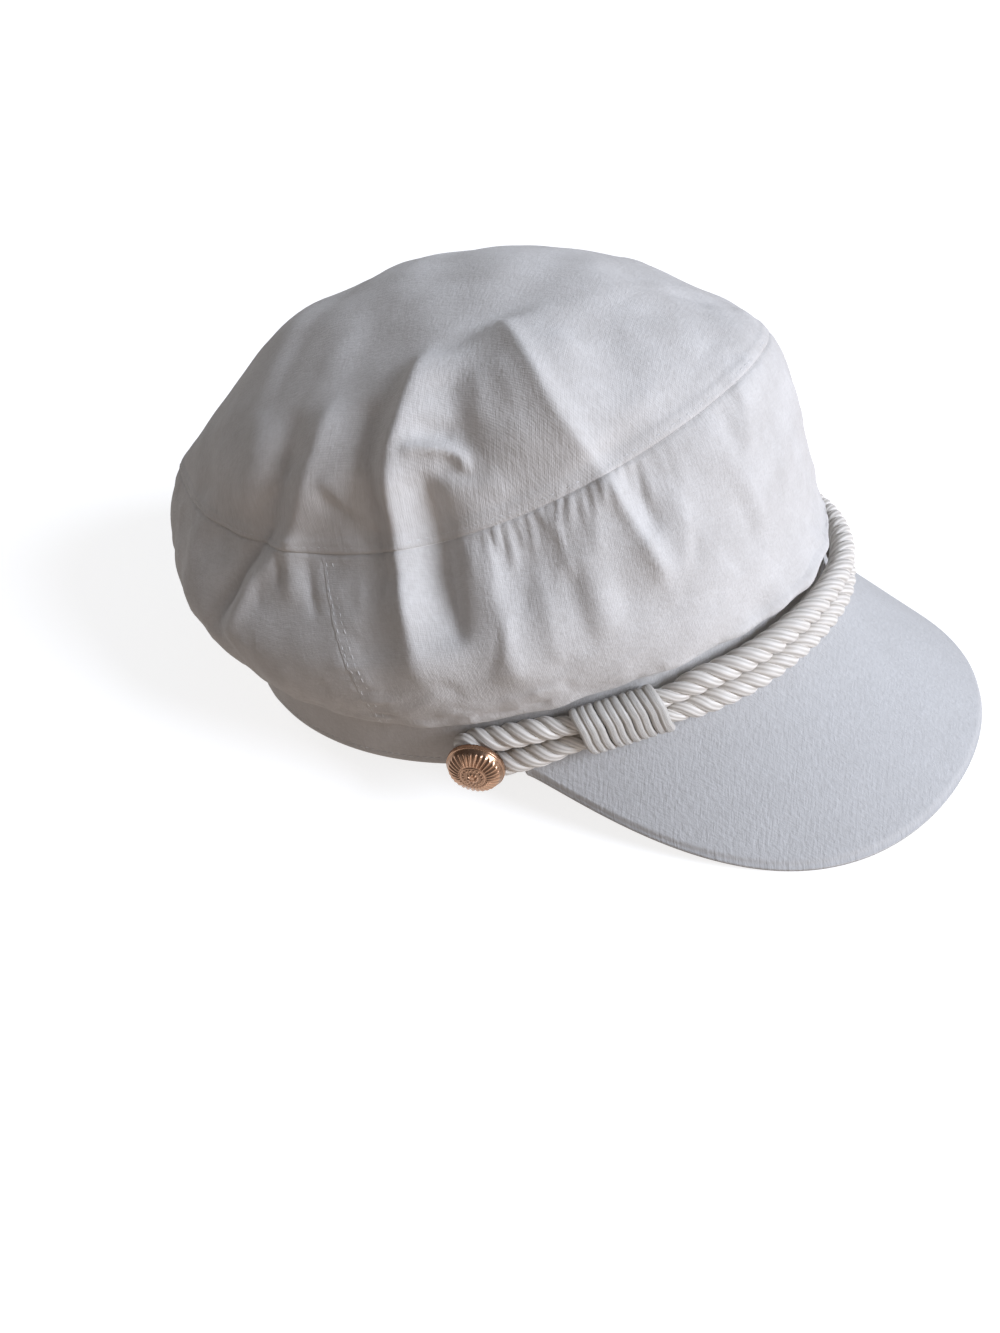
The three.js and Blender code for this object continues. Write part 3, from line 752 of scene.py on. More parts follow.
# Satin cord: fine fibres along the strand, whose tone varies at random, and painted shade in the hollows
# between the strands: the colour darkens with the bump's height.
def cord_material(name, light, dark, roughness, fibre, yarn):
    material, nodes, links, shader = node_material(name, light, roughness)
    shader.inputs["Sheen Weight"].default_value = 0.2
    shader.inputs["Specular IOR Level"].default_value = 0.5
    fibres = stretched_noise(nodes, links, 1.0, fibre, 3)
    uv = nodes.new("ShaderNodeUVMap")
    yarns = add_node(nodes, "ShaderNodeTexWave", Scale=WAVE_PER_MM, Distortion=0.5, Detail=1)
    links.new(uv.outputs[0], yarns.inputs["Vector"])
    raised = math_node(nodes, links, "MULTIPLY", yarns.outputs["Fac"], yarn)
    height = math_node(nodes, links, "ADD", raised, fibres.outputs["Fac"])
    # Painted shade: the colour follows the bump's height, darkest in the hollows between the yarns, and
    # the fibre noise adds random tone.
    share = map_range(nodes, links, height, 0.35, 0.65 + 0.6 * yarn)
    dress(nodes, links, shader, height, 0.6, CORD_BUMP, share, dark, light)
    return material


def gilt_material():
    material, nodes, links, shader = node_material("gilt", (0.76, 0.47, 0.28), 0.24, 1.0)
    # The vertex colour layer mixes in painted shade, darkening the gilt almost to black in the button's
    # low places.
    tint = nodes.new("ShaderNodeVertexColor")
    tint.layer_name = "painted_shade"
    mix = mix_colors(nodes, links, tint.outputs["Color"], (0.45, 0.27, 0.175), (0.05, 0.024, 0.013))
    links.new(mix.outputs[2], shader.inputs["Base Color"])
    coordinates = nodes.new("ShaderNodeTexCoord")
    wear = add_node(nodes, "ShaderNodeTexNoise", Scale=900.0, Detail=3.0)
    links.new(coordinates.outputs["Object"], wear.inputs["Vector"])
    rough = map_range(nodes, links, wear.outputs["Fac"], 0.0, 1.0, 0.14, 0.36)
    links.new(rough, shader.inputs["Roughness"])
    return material


CROWN_COTTON = cloth_material(
    "crown_cotton", (0.65, 0.63, 0.607), (0.535, 0.512, 0.485), thread=0.42, strength=0.75, roughness=0.92
)
PEAK_COTTON = cloth_material(
    "peak_cotton", (0.56, 0.555, 0.548), (0.475, 0.468, 0.458),
    thread=0.6, strength=1.0, roughness=0.88, mottle=0.2, woven=0.05,
)
BAND_TAPE = cloth_material(
    "band_tape", (0.62, 0.605, 0.59), (0.55, 0.535, 0.52), thread=0.7, strength=0.5, roughness=0.9
)
# The dark colours of both cords are painted shade for the hollows between their yarns, mixed with random
# fibre tone.
IVORY_CORD = cord_material(
    "ivory_cord", (0.755, 0.715, 0.655), (0.46, 0.42, 0.37), roughness=0.5, fibre=(3.2, 0.16, 1), yarn=0.7
)
WHIPPING_YARN = cord_material(
    "whipping_cord", (0.58, 0.555, 0.515), (0.42, 0.39, 0.345),
    roughness=0.5, fibre=(3.2, 0.2, 1), yarn=0.35,
)
THREAD = node_material("thread", (0.60, 0.59, 0.575), 0.85)[0]
GILT = gilt_material()


# Meshes
def grid_faces(rows, columns, wrap_rows=False, wrap_columns=False):
    index = np.arange(rows * columns).reshape(rows, columns)
    if wrap_rows:
        index = np.concatenate([index, index[:1]])
    if wrap_columns:
        index = np.concatenate([index, index[:, :1]], 1)
    corners = [index[:-1, :-1], index[1:, :-1], index[1:, 1:], index[:-1, 1:]]
    return np.stack([corner.ravel() for corner in corners], -1)


# Closes the two ends of a grid of loops, each of an outer side and an inner one that comes back.
def with_end_caps(faces, steps, size):
    k = np.arange(size // 2 - 1)
    for start, turn in ((0, 1), ((steps - 1) * size, -1)):
        cap = np.stack([start + k, start + k + 1, start + size - 2 - k, start + size - 1 - k], -1)
        faces = np.concatenate([faces, cap[:, ::turn]])
    return faces


def signed_volume(points, faces):
    a, b, c, d = (points[faces[:, k]] for k in range(4))
    first = np.einsum("ij,ij->i", a, np.cross(b, c))
    second = np.einsum("ij,ij->i", a, np.cross(c, d))
    return (first + second).sum()


def add_piece(name, points, faces, materials, replaced=(), uv=None, painted_shade=None, face_slots=None):
    points = to_rest(points.reshape(-1, 3))
    faces = np.asarray(faces)
    if signed_volume(points, faces) < 0:
        faces = faces[:, ::-1]
    mesh = bpy.data.meshes.new(name)
    mesh.from_pydata(points.tolist(), [], faces.tolist())
    mesh.polygons.foreach_set("use_smooth", np.ones(len(faces), bool))
    if face_slots is not None:
        mesh.polygons.foreach_set("material_index", np.asarray(face_slots, np.int32))
    if uv is not None:
        layer = mesh.uv_layers.new(name="threads")
        corners = np.empty(len(mesh.loops), np.int32)
        mesh.loops.foreach_get("vertex_index", corners)
        layer.data.foreach_set("uv", uv.reshape(-1, 2)[corners].astype(np.float32).ravel())
    # Vertex colour that carries painted shade, one grey per point.
    if painted_shade is not None:
        tint = mesh.color_attributes.new("painted_shade", "FLOAT_COLOR", "POINT")
        shade = np.repeat(painted_shade.reshape(-1, 1), 4, 1).astype(np.float32)
        shade[:, 3] = 1
        tint.data.foreach_set("color", shade.ravel())
    mesh.validate()
    piece = bpy.data.objects.new(name, mesh)
    bpy.context.scene.collection.objects.link(piece)
    for material in materials:
        mesh.materials.append(material)
    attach(piece, "root")
    if replaced:
        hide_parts(*replaced)
    return piece


FRONT_STEPS = 340
BACK_STEPS = 280
SIDE_ROWS = 86
TOP_STEPS = 470
TOP_ROWS = 72
# The first rows beside a seam and the last rings about the crown's middle: they keep the shading
# smooth up to the cloth's edges.
SIDE_SEAM_STEPS = (0.03 * MM, 0.3 * MM, 0.65 * MM)
TOP_SEAM_STEPS = (0.03 * MM, 0.3 * MM)
POLE_ROWS = (0.006, 0.003, 0.0006)
CLOTH_GAP = 0.02 * MM
# A mean radius of the band in millimetres, for UV maps that run round it.
UV_RADIUS = 92


def crown_uv(angle, row, flat_top):
    points = plain_crown(angle, row) / MM
    if flat_top:
        return points[..., :2]
    around = np.asarray(angle) * UV_RADIUS + 0 * np.asarray(row)
    return np.stack([around, points[..., 2]], -1)


def cloth_shell(name, angles, rows, closed, replaced):
    outer = crown_skin(angles[:, None], rows)
    inner = crown_lining_side(angles[:, None], rows)
    loops = np.concatenate([outer, inner[:, ::-1]], 1)
    steps, size = loops.shape[:2]
    faces = grid_faces(steps, size, wrap_rows=closed, wrap_columns=True)
    if not closed:
        faces = with_end_caps(faces, steps, size)
    uv = crown_uv(angles[:, None] + 0 * rows, rows + 0 * angles[:, None], name == "crown_top_cloth")
    uv = np.concatenate([uv, uv[:, ::-1]], 1)
    return add_piece(name, loops, faces, [CROWN_COTTON], replaced, uv)


def seam_offset(angles, length):
    return length / upward_speed(angles, SEAM_ROW)


def side_panel(name, start, end, steps, replaced):
    inset = np.array(SIDE_SEAM_STEPS) / HALF_LENGTH
    inner = np.linspace(start, end, steps + 1)[1:-1]
    angles = np.concatenate([[start], start + inset, inner, end - inset[::-1], [end]])
    seam = SEAM_ROW - seam_offset(angles, CLOTH_GAP)[:, None]
    rows = lerp(0.0, seam, np.linspace(0, 1, SIDE_ROWS) ** 0.85)
    near = [seam - seam_offset(angles, away)[:, None] for away in SIDE_SEAM_STEPS[::-1]]
    return cloth_shell(name, angles, np.concatenate([rows[:, :-1], *near, seam], 1), False, replaced)


def crown_pieces():
    edge = CLOTH_GAP / HALF_WIDTH
    side_panel("crown_front_cloth", -SIDE_SEAM + edge, SIDE_SEAM - edge, FRONT_STEPS, ["crown_side_front"])
    back = (SIDE_SEAM + edge, 2 * math.pi - SIDE_SEAM - edge)
    side_panel("crown_back_cloth", *back, BACK_STEPS, ["crown_side_back"])
    angles = full_circle(TOP_STEPS)
    seam = SEAM_ROW + seam_offset(angles, CLOTH_GAP)[:, None]
    rows = lerp(seam, TOP_ROW - POLE_ROWS[0], np.linspace(0, 1, TOP_ROWS) ** 1.12)
    near = [seam + seam_offset(angles, away)[:, None] for away in TOP_SEAM_STEPS]
    pole = [TOP_ROW - away + 0 * seam for away in POLE_ROWS[1:]]
    rows = np.concatenate([seam, *near, rows[:, 1:], *pole], 1)
    cloth_shell("crown_top_cloth", angles, rows, True, ["crown_top"])


BAND_STITCH_HEIGHT = 2.6 * MM
BAND_STEPS = 360
BAND_EDGE = 1.0 * MM
BAND_INNER_HEIGHTS = [BAND_HEIGHT - 0.4 * MM, BAND_HEIGHT * 0.6, BAND_HEIGHT * 0.3, 0.4 * MM]
BAND_RIPPLES = 22
BAND_RIPPLE = 0.245 * MM
BAND_STITCH_SINK_WIDTH = 0.4 * MM


def band_piece():
    steps, edge = BAND_STEPS, BAND_EDGE
    angles = full_circle(steps)
    turn = np.linspace(0, math.pi / 2, 5)
    lower = [(-edge + edge * math.cos(t), edge - edge * math.sin(t)) for t in turn[::-1]]
    upper = [(-edge + edge * math.cos(t), BAND_HEIGHT - edge + edge * math.sin(t)) for t in turn]
    heights = np.linspace(edge, BAND_HEIGHT - edge, 34)[1:-1]
    outer = lower + [(0.0, h) for h in heights] + upper
    inner = [(-BAND_WALL, h) for h in BAND_INNER_HEIGHTS]
    profile = np.array(outer + inner)
    out = np.broadcast_to(profile[:, 0], (steps, len(profile))).copy()
    height = np.broadcast_to(profile[:, 1], (steps, len(profile))).copy()
    faces_out = np.arange(len(profile)) < len(outer)
    draw = np.random.default_rng(5)
    ripple = np.zeros_like(out)
    for _ in range(BAND_RIPPLES):
        middle = draw.uniform(0, 2 * math.pi)
        width = draw.uniform(0.02, 0.05)
        lean = draw.normal(0, 0.02)
        away = turn_from(angles[:, None], middle + lean * height / BAND_HEIGHT)
        ripple += draw.uniform(-1, 1) * BAND_RIPPLE * bell(away, width)
    sewn = bell(height - BAND_STITCH_HEIGHT, BAND_STITCH_SINK_WIDTH)
    out += faces_out * (ripple - TOPSTITCH_SINK * sewn)
    points = band_point(angles[:, None], out, height)
    faces = grid_faces(steps, len(profile), True, True)
    inner_face = np.tile(~faces_out | ~np.roll(faces_out, -1), steps)
    uv = np.stack(np.broadcast_arrays(angles[:, None] * UV_RADIUS, along_line(profile) / MM), -1)
    slots = inner_face.astype(int)
    cloths = [CROWN_COTTON, BAND_TAPE]
    return add_piece("band_cloth", points, faces, cloths, ["band"], uv, face_slots=slots)


def peak_point(angle, share):
    t = np.minimum(np.abs(angle) / PEAK_END, 1)
    full = (1 - t**PEAK_FLAT) ** PEAK_END_ROUND
    reach = lerp(PEAK_END_REACH, PEAK_REACH, full) * share
    forward = np.array([0.0, -1.0, 0.0])
    direction = unit(lerp(band_outward(angle), forward, PEAK_FORWARD))
    start = band_point(angle, SEAT_GAP, PEAK_LIFT)
    point = start + direction * reach[..., None]
    point[..., 2] = start[..., 2] - PEAK_SLOPE * reach
    return point


def peak_piece():
    steps, shares = 260, 90
    t = np.sin(math.pi / 2 * np.linspace(-1, 1, steps))
    angles = t[:, None] * PEAK_END
    share = np.linspace(0, 1, shares)[None, :] ** 0.9
    upper = peak_point(angles + 0 * share, share + 0 * angles)
    lift = PEAK_WALL * math.hypot(1, PEAK_SLOPE)
    # The cloth turns round the board's outer edge and its two ends.
    reach = lerp(PEAK_END_REACH, PEAK_REACH, (1 - np.abs(t) ** PEAK_FLAT) ** PEAK_END_ROUND)[:, None]
    from_edge = reach * (1 - share) * math.hypot(1, PEAK_SLOPE)
    turn_in = PEAK_WALL / 2
    inside = np.clip(1 - from_edge / turn_in, 0, 1)
    sag = lift / 2 * (1 - np.sqrt(np.clip(1 - inside**2, 0, 1)))
    lower = upper.copy()
    upper[..., 2] -= sag
    lower[..., 2] -= lift - sag
    loops = np.concatenate([upper, lower[:, ::-1]], 1)
    size = loops.shape[1]
    faces = with_end_caps(grid_faces(steps, size, wrap_columns=True), steps, size)
    uv = loops[..., :2] / MM
    return add_piece("peak_cloth", loops, faces, [PEAK_COTTON], ["peak"], uv)


WHIPPING_HALF = WHIPPING_TURNS * WHIPPING_CORD / 2
WHIPPING_REACH = WHIPPING_HALF / band_speed(WHIPPING_ANGLE)
SQUEEZE_HOLD = WHIPPING_REACH + ROPE_RADIUS / 2 / HALF_WIDTH
SQUEEZE_END = SQUEEZE_HOLD + 2 * ROPE_RADIUS / HALF_WIDTH


def squeeze(angle):
    beyond = np.abs(np.abs(angle) - WHIPPING_ANGLE)
    return 1 - smoothstep(beyond, SQUEEZE_HOLD, SQUEEZE_END)


def rope_radius(angle):
    return lerp(ROPE_RADIUS, ROPE_SQUEEZED, squeeze(angle))


# Where the rope hangs slack, away from the band and a little lower.
def slack(angle):
    return 1 - smoothstep(np.abs(angle - ROPE_AWAY_MIDDLE), *ROPE_AWAY_REACH)


def rope_out(angle):
    over_whipping = squeeze(angle) * (WHIPPING_BACK + SEAT_GAP)
    return SEAT_GAP + rope_radius(angle) + over_whipping + ROPE_AWAY * slack(angle)


def spread(angle):
    return smoothstep(np.abs(angle), WHIPPING_ANGLE + WHIPPING_REACH, BUTTON_ANGLE)


def pair_middle(angle):
    return lerp(ROPE_MIDDLE, BUTTON_HEIGHT, spread(angle)) - ROPE_SAG * slack(angle)


def pair_half(angle):
    return lerp(rope_radius(angle) + ROPE_GAP / 2, ROPE_TURN_RADIUS, spread(angle))


# The rope's centre line, all the way round: lower run, turn, upper run, turn.
def rope_line():
    angles = []
    points = []
    run = np.linspace(BUTTON_ANGLE, -BUTTON_ANGLE, 400)
    turn = np.linspace(0, math.pi, 26)[1:-1]
    past = np.sin(turn) * ROPE_TURN_RADIUS / band_speed(BUTTON_ANGLE)
    for side in (-1, 1):
        along_run = -side * run
        in_turn = side * (BUTTON_ANGLE + past)
        run_height = pair_middle(along_run) + side * pair_half(along_run)
        turn_height = BUTTON_HEIGHT + side * ROPE_TURN_RADIUS * np.cos(turn)
        for places, height in ((along_run, run_height), (in_turn, turn_height)):
            angles.append(places)
            points.append(band_point(places, rope_out(places), height))
    return np.concatenate(angles), np.concatenate(points)


# Even steps along a closed line.
def even_steps(line, values, step):
    closed = np.concatenate([line, line[:1]])
    length = along_line(closed)
    count = int(round(length[-1] / step))
    wanted = np.arange(count) * length[-1] / count
    points = np.stack([np.interp(wanted, length, closed[:, k]) for k in range(3)], -1)
    carried = [np.interp(wanted, length, np.concatenate([value, value[:1]])) for value in values]
    return points, carried, wanted, length[-1]


STRAND_SIDES = 14
STRAND_YARNS = 8
YARN_TWIST = 0.22
STRAND_SHARE = 0.5
STRAND_OFFSET = 0.515
STRAND_WIDENING = 1.12
ROPE_STEP = 0.65 * MM


def rope_piece():
    angles, line = rope_line()
    outwards = band_outward(angles)
    radius = rope_radius(angles)
    line, carried, along, length = even_steps(line, [radius, *outwards.T], ROPE_STEP)
    radius = carried[0]
    outward = unit(np.stack(carried[1:], -1))
    tangent = unit(np.roll(line, -1, 0) - np.roll(line, 1, 0))
    across = unit(np.cross(tangent, outward))
    outward = np.cross(across, tangent)
    turns = round(length / ROPE_LAY)
    points, faces, uvs = [], [], []
    for strand in range(3):
        phase = 2 * math.pi * (turns * along / length + strand / 3)
        radial = outward * np.cos(phase)[:, None] + across * np.sin(phase)[:, None]
        centre = line + radial * (STRAND_OFFSET * radius)[:, None]
        forward = unit(np.roll(centre, -1, 0) - np.roll(centre, 1, 0))
        side = unit(np.cross(forward, radial))
        lift = np.cross(side, forward)
        around = np.linspace(-math.pi, math.pi, STRAND_SIDES, endpoint=False)
        ring = side[:, None] * np.sin(around)[None, :, None] * STRAND_WIDENING
        ring = ring + lift[:, None] * np.cos(around)[None, :, None]
        tube = centre[:, None] + ring * (STRAND_SHARE * radius)[:, None, None]
        faces.append(grid_faces(len(line), STRAND_SIDES, True, True) + strand * len(line) * STRAND_SIDES)
        points.append(tube)
        twist = around[None, :] / (2 * math.pi) * STRAND_YARNS + along[:, None] / MM * YARN_TWIST
        uvs.append(np.stack([twist, along[:, None] / MM + 0 * around[None, :]], -1))
    points, faces, uv = np.stack(points), np.concatenate(faces), np.stack(uvs)
    return add_piece("rope_strands", points, faces, [IVORY_CORD], ["rope"], uv)


def whipping_section(turn, wall, back):
    outward, upward = np.cos(turn), np.sin(turn)
    bulge = ROPE_SQUEEZED + SEAT_GAP
    thickness = np.where(outward < 0, lerp(wall, back, -outward), wall)
    rounded = np.sign(upward) * np.abs(upward) ** WHIPPING_FLATNESS
    out = outward * (bulge + thickness)
    up = rounded * (ROPE_SQUEEZED + ROPE_GAP / 2 + bulge) + upward * thickness
    return out, up, thickness


WHIPPING_STEPS = 56
WHIPPING_WOBBLE = 0.16 * MM
WHIPPING_SIDES = 12


def whipping_piece(name, side, replaced):
    sides = WHIPPING_SIDES
    count = WHIPPING_TURNS * WHIPPING_STEPS + 1
    progress = np.linspace(0, 1, count)
    turn = 2 * math.pi * WHIPPING_TURNS * progress + math.pi
    share = (progress - 0.5) * 2 * (1 - 0.5 / WHIPPING_TURNS)
    angle = WHIPPING_ANGLE + share * WHIPPING_REACH
    wobble = WHIPPING_WOBBLE * np.sin(turn * 0.37 + side)
    out, up, thickness = whipping_section(turn, WHIPPING_WALL / 2, WHIPPING_BACK / 2)
    lean = WHIPPING_LEAN * np.sin(turn)
    angle = angle + (lean + wobble) / band_speed(WHIPPING_ANGLE)
    centre = band_point(side * angle, rope_out(angle) + out, pair_middle(angle) + up)
    forward = unit(np.gradient(centre, axis=0))
    hub = band_point(side * angle, rope_out(angle), pair_middle(angle))
    along_rope = unit(band_point(side * (angle + 0.01)) - band_point(side * (angle - 0.01)))
    radial = unit(np.cross(forward, along_rope))
    radial *= np.sign(np.einsum("ij,ij->i", radial, centre - hub))[:, None]
    beside = unit(np.cross(radial, forward))
    around = full_circle(sides)
    taper = 0.35 + 0.65 * smoothstep(np.minimum(progress, 1 - progress), 0, 0.03)
    stout = 1 + 0.3 * (1 - smoothstep(progress * WHIPPING_TURNS, 0.7, 1.2))
    half_wide = WHIPPING_CORD * 0.52 * taper * stout
    half_thick = thickness * 1.15 * taper * stout
    ring = beside[:, None] * (np.sin(around)[None, :] * half_wide[:, None])[..., None]
    ring = ring + radial[:, None] * (np.cos(around)[None, :] * half_thick[:, None])[..., None]
    tube = centre[:, None] + ring
    ends = tube[[0, -1]].mean(1)
    points = np.concatenate([tube.reshape(-1, 3), ends])
    faces = grid_faces(count, sides, False, True)
    k = np.arange(sides)
    nxt = (k + 1) % sides
    last = (count - 1) * sides
    first_end, last_end = np.full(sides, len(points) - 2), np.full(sides, len(points) - 1)
    first_cap = np.stack([nxt, k, first_end, first_end], -1)
    last_cap = np.stack([last + k, last + nxt, last_end, last_end], -1)
    length = along_line(centre) / MM
    uv = np.stack(np.broadcast_arrays(around[None, :] * 1.1, length[:, None]), -1).reshape(-1, 2)
    uv = np.concatenate([uv, [[0, 0], [0, length[-1]]]])
    faces = np.concatenate([faces, first_cap, last_cap])
    return add_piece(name, points, faces, [WHIPPING_YARN], [replaced], uv)


# A stamped button: rolled rim, a ring of fine radial ribs, a ring of beads and a small rosette, with
# painted shade in its low places.
RIBS = 30
BEADS = 16
PETALS = 8
BUTTON_RINGS = 96
BUTTON_SIDES = 288
DOME_SHARE = 0.975
RIM_SHARE = 0.95


def disc(radius, around, level):
    return np.stack(np.broadcast_arrays(radius * np.cos(around), radius * np.sin(around), level), -1)


def button_piece(name, side, replaced):
    rings, sides = BUTTON_RINGS, BUTTON_SIDES
    around = full_circle(sides)
    r = np.linspace(0, 1, rings)[:, None]
    a = around[None, :]
    base = np.sqrt(np.clip(1 - (r / DOME_SHARE) ** 2, 0, 1)) * BUTTON_DOME
    ribs, beads, petals = (0.5 + 0.5 * np.cos(count * a) for count in (RIBS, BEADS, PETALS))
    # Stamped rings: inner and outer share of the radius, width of the edge, height in mm
    stamped = [
        (0.44, 0.92, 0.07, 0.46 * ribs**0.8),
        (0.38, 0.45, 0.03, 0.2),
        (0.26, 0.39, 0.05, 0.36 * beads),
        (-0.1, 0.24, 0.09, 0.2 + 0.46 * petals * smoothstep(r, 0.03, 0.12)),
    ]
    relief = np.zeros((rings, sides))
    for low, high, edge, raised in stamped:
        relief += plateau(r, low, low + edge, high - edge, high) * raised * MM
    rim = np.clip(1 - ((r - DOME_SHARE) / (1 - DOME_SHARE)) ** 2, 0, 1) ** 0.5
    under = 2 * (SEAT_GAP + ROPE_RADIUS) + SEAT_GAP / 2
    rolled = rim * BUTTON_RIM * 0.9 + 0.1 * MM
    height = under + BUTTON_RIM / 2 + np.where(r < RIM_SHARE, BUTTON_RIM / 2 + base + relief, rolled)
    top = disc(BUTTON_RADIUS * r, a, height)
    # Painted shade: the gilt is darker where the stamping is low, between ribs, beads and petals, in the
    # ring inside the rim and on the back; raised parts and the rolled rim stay light.
    painted_shade = np.clip(0.55 - relief / (0.42 * MM), 0, 1)
    painted_shade = np.where(r > RIM_SHARE, 0.05, np.where(r > 0.9, 0.35, painted_shade) * (r > 0.02))
    radii = [BUTTON_RADIUS, BUTTON_RADIUS * RIM_SHARE, SHANK_RADIUS, SHANK_RADIUS, 0.0]
    levels = [under + BUTTON_RIM * 0.3, under, under, SEAT_GAP, SEAT_GAP]
    backs = [disc(radius, around, level) for radius, level in zip(radii, levels)]
    local = np.concatenate([top, np.stack(backs)])
    painted_shade = np.concatenate([painted_shade, np.full((len(backs), sides), 0.3)])
    angle = side * BUTTON_ANGLE
    outward = band_outward(angle)
    outward = unit(outward - np.array([0.0, 0.0, math.tan(BUTTON_TIP)]))
    up = unit(np.array([0.0, 0.0, 1.0]) - outward[2] * outward)
    across = np.cross(up, outward)
    frame_axes = np.stack([across, up, outward])
    points = band_point(angle, 0, BUTTON_HEIGHT) + local @ frame_axes
    faces = grid_faces(len(local), sides, False, True)
    return add_piece(name, points, faces, [GILT], [replaced], painted_shade=painted_shade)


# Stitches: a short round thread for each, lying in its sunk line.
STITCH_STEP = 2.4 * MM
STITCH_LENGTH = 1.7 * MM
STITCH_RADIUS = 0.15 * MM
STITCH_FLATNESS = 1.25
SIDE_STITCHED_ROWS = np.linspace(2.2, 4.94, 160)


def stitch_row(line, outward):
    length = along_line(line)
    count = int(length[-1] / STITCH_STEP)
    middles = (np.arange(count) + 0.5) * length[-1] / count

    def sample(values, at):
        return np.stack([np.interp(at, length, values[:, k]) for k in range(3)], -1)

    rings, sides = 7, 8
    quarter = np.linspace(-math.pi / 2, math.pi / 2, rings)
    spread_out = np.sin(quarter)
    thick = np.cos(quarter) ** 0.7
    thick[[0, -1]] = 0.05
    around = full_circle(sides)
    start, end = (sample(line, middles + share * STITCH_LENGTH) for share in (-0.5, 0.5))
    normal = unit(sample(outward, middles))
    forward = unit(end - start)
    side = unit(np.cross(forward, normal))
    normal = np.cross(side, forward)
    centre = (start + end) / 2 + normal * STITCH_RADIUS * 0.35
    centre, forward, side, normal = (each[:, None, None] for each in (centre, forward, side, normal))
    spread_out, thick = (each[None, :, None, None] for each in (spread_out, thick))
    tube = centre + forward * spread_out * STITCH_LENGTH / 2
    ring = side * np.cos(around)[:, None] * STITCH_FLATNESS + normal * np.sin(around)[:, None]
    tube = tube + STITCH_RADIUS * thick * ring
    tube = tube - normal * np.abs(spread_out) ** 3 * STITCH_RADIUS * 1.1
    single = grid_faces(rings, sides, False, True)
    first = np.array([[0, 1, 2, 3], [0, 3, 4, 7], [4, 5, 6, 7]])
    last = (rings - 1) * sides + first[:, ::-1]
    single = np.concatenate([single[:, ::-1], first, last])
    block = rings * sides
    faces = np.concatenate([single + k * block for k in range(count)])
    return tube.reshape(-1, 3), faces


def stitches(name, rows):
    points, faces, base = [], [], 0
    for line, outward in rows:
        tube, quads = stitch_row(line, outward)
        points.append(tube)
        faces.append(quads + base)
        base += len(tube)
    return add_piece(name, np.concatenate(points), np.concatenate(faces), [THREAD])


def crown_stitches():
    angles = np.linspace(0, 2 * math.pi, 1200)
    rows = SEAM_ROW + seam_offset(angles, TOPSTITCH_AWAY)
    lines = [(crown_skin(angles, rows), plain_outward(angles, rows))]
    heights = SIDE_STITCHED_ROWS
    for side in (1, -1):
        for away in SIDE_STITCH_ROWS:
            middle = side * SIDE_SEAM
            at = middle - side * away / round_speed(middle, heights)
            lines.append((crown_skin(at, heights), plain_outward(leaning(at, heights), heights)))
    return stitches("crown_topstitches", lines)


def band_stitches():
    angles = np.linspace(0, 2 * math.pi, 1200)
    line = band_point(angles, -TOPSTITCH_SINK * 0.6, BAND_STITCH_HEIGHT)
    return stitches("band_topstitches", [(line, band_outward(angles))])


# Camera: where the photograph was taken from, about the hat's wearing position.
VIEW_AZIMUTH = math.radians(-56.85)
VIEW_ELEVATION = math.radians(32.60)
VIEW_ROLL = math.radians(-16.17)
VIEW_DISTANCE = 355.23 * MM
VIEW_RIGHT = -9.07 * MM
VIEW_UP = -22.53 * MM
FOCAL_PIXELS = 1000.0
IMAGE_HEIGHT = 1333
SENSOR = 36.0


def direction_to(azimuth, elevation):
    flat = math.cos(elevation)
    return np.array([math.sin(azimuth) * flat, -math.cos(azimuth) * flat, math.sin(elevation)])


def add_camera():
    back = direction_to(VIEW_AZIMUTH, VIEW_ELEVATION)
    right = unit(np.cross([0, 0, 1], back))
    up = np.cross(back, right)
    c, s = math.cos(VIEW_ROLL), math.sin(VIEW_ROLL)
    right, up = c * right + s * up, c * up - s * right
    place = right * VIEW_RIGHT + up * VIEW_UP + back * VIEW_DISTANCE
    origin = to_rest(np.zeros(3))
    axes = [to_rest(axis) - origin for axis in (right, up, back)]
    camera = bpy.data.objects.new("camera", bpy.data.cameras.new("camera"))
    camera.data.sensor_fit = "AUTO"
    camera.data.sensor_width = SENSOR
    camera.data.lens = FOCAL_PIXELS * SENSOR / IMAGE_HEIGHT
    camera.data.clip_start = 0.01
    camera.data.clip_end = 100
    matrix = Matrix([[*column] for column in np.transpose(axes)]).to_4x4()
    matrix.translation = Vector(to_rest(place))
    camera.matrix_world = matrix
    bpy.context.scene.collection.objects.link(camera)
    bpy.context.scene.camera = camera


def add_light(name, azimuth, elevation, spread_angle, strength, color):
    light = bpy.data.lights.new(name, "SUN")
    light.angle = math.radians(spread_angle)
    light.energy = strength
    light.color = color
    lamp = bpy.data.objects.new(name, light)
    direction = Vector(direction_to(math.radians(azimuth), math.radians(elevation)))
    lamp.location = direction
    lamp.rotation_euler = direction.to_track_quat("Z", "Y").to_euler()
    bpy.context.scene.collection.objects.link(lamp)


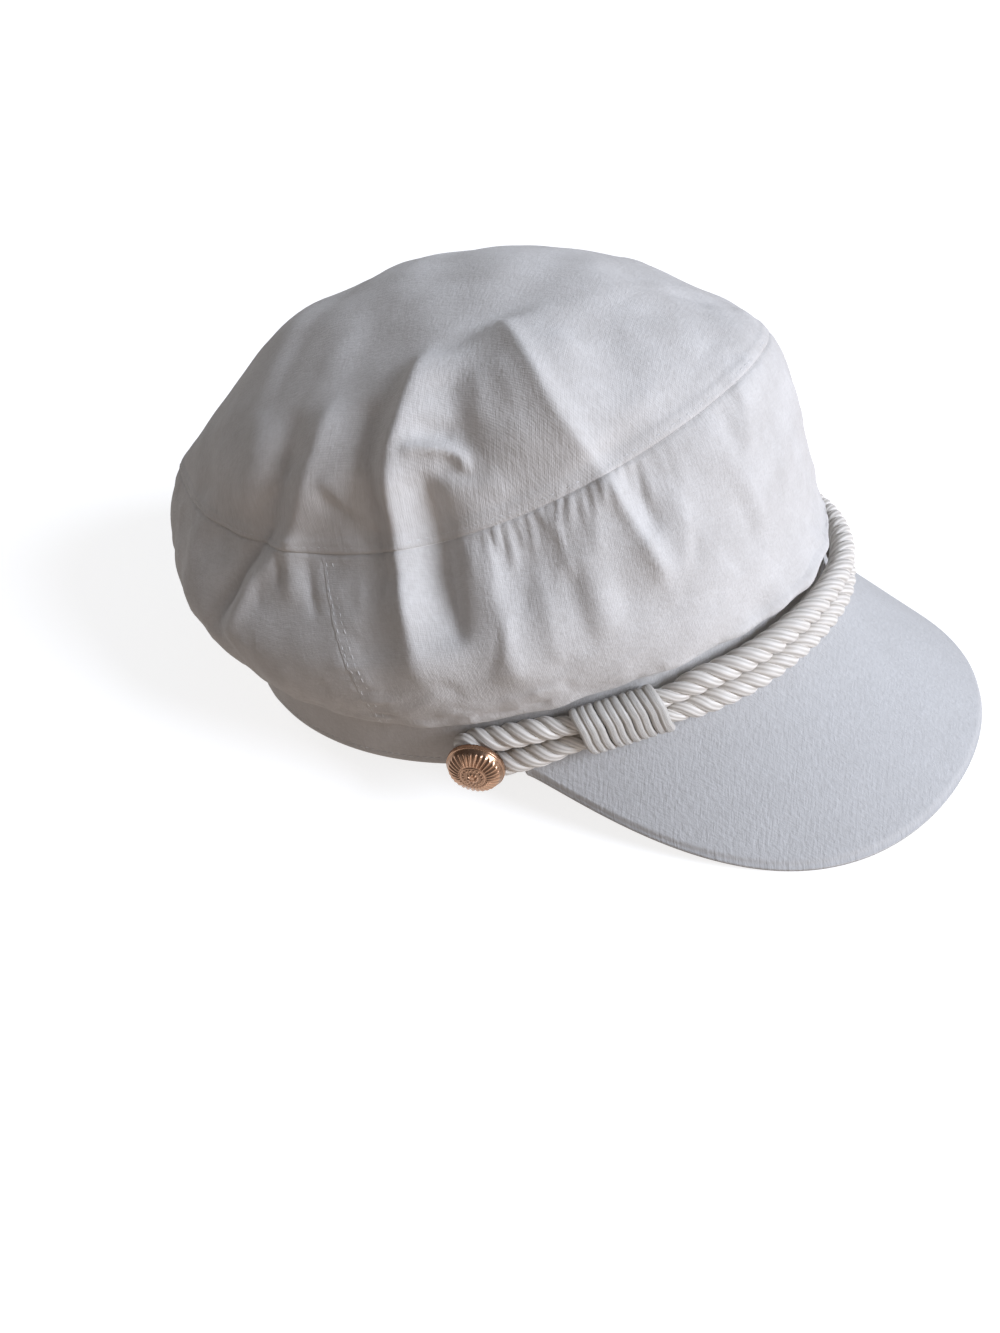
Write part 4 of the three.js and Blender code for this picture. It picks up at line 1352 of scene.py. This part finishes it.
# Soft light of the room: one colour from below and the sides, another from above, and weaker
# from behind than from the front.
def add_room_light(low, high, behind):
    world = bpy.data.worlds.new("studio")
    bpy.context.scene.world = world
    world.use_nodes = True
    nodes, links = world.node_tree.nodes, world.node_tree.links
    coordinates = nodes.new("ShaderNodeTexCoord")
    split = nodes.new("ShaderNodeSeparateXYZ")
    links.new(coordinates.outputs["Generated"], split.inputs[0])
    height = map_range(nodes, links, split.outputs["Z"], -0.2, 1.0)
    mix = mix_colors(nodes, links, height, low, high)
    path = nodes.new("ShaderNodeLightPath")
    seen = mix_colors(nodes, links, path.outputs["Is Camera Ray"], low, (1, 1, 1))
    links.new(mix.outputs[2], seen.inputs[6])
    links.new(seen.outputs[2], nodes["Background"].inputs["Color"])
    facing = map_range(nodes, links, split.outputs["Y"], 1.0, -1.0, behind, 1.0)
    strength = math_node(nodes, links, "MAXIMUM", facing, path.outputs["Is Camera Ray"])
    links.new(strength, nodes["Background"].inputs["Strength"])


FLOOR_HALF = 12.0


def add_studio():
    scene = bpy.context.scene
    scene.view_settings.view_transform = "Standard"
    scene.view_settings.look = "None"
    add_room_light((0.50, 0.42, 0.375), (0.265, 0.293, 0.335), 0.32)
    add_light("key", 0, 29, 26, 3.45, (0.885, 0.965, 1.125))
    add_light("fill", -28, 2, 50, 0.34, (1.0, 0.94, 0.90))
    add_light("back", 158, 8, 45, 0.75, (0.96, 0.98, 1.0))
    mesh = bpy.data.meshes.new("floor")
    corners = [(x * FLOOR_HALF, y * FLOOR_HALF, 0) for x, y in ((-1, -1), (1, -1), (1, 1), (-1, 1))]
    mesh.from_pydata(corners, [], [(0, 1, 2, 3)])
    floor = bpy.data.objects.new("floor", mesh)
    scene.collection.objects.link(floor)
    material, nodes, links, shader = node_material("floor", (0.46, 0.46, 0.46), 0.8)
    shader.inputs["Emission Color"].default_value = (1, 1, 1, 1)
    shader.inputs["Emission Strength"].default_value = 0.78
    mesh.materials.append(material)
    floor.visible_diffuse = False


add_camera()
crown_pieces()
band_piece()
peak_piece()
rope_piece()
for side, word in ((1, "right"), (-1, "left")):
    whipping_piece(f"whipping_{word}_cord", side, f"whipping_{word}")
    button_piece(f"button_{word}_face", side, f"button_{word}")
crown_stitches()
band_stitches()
add_studio()
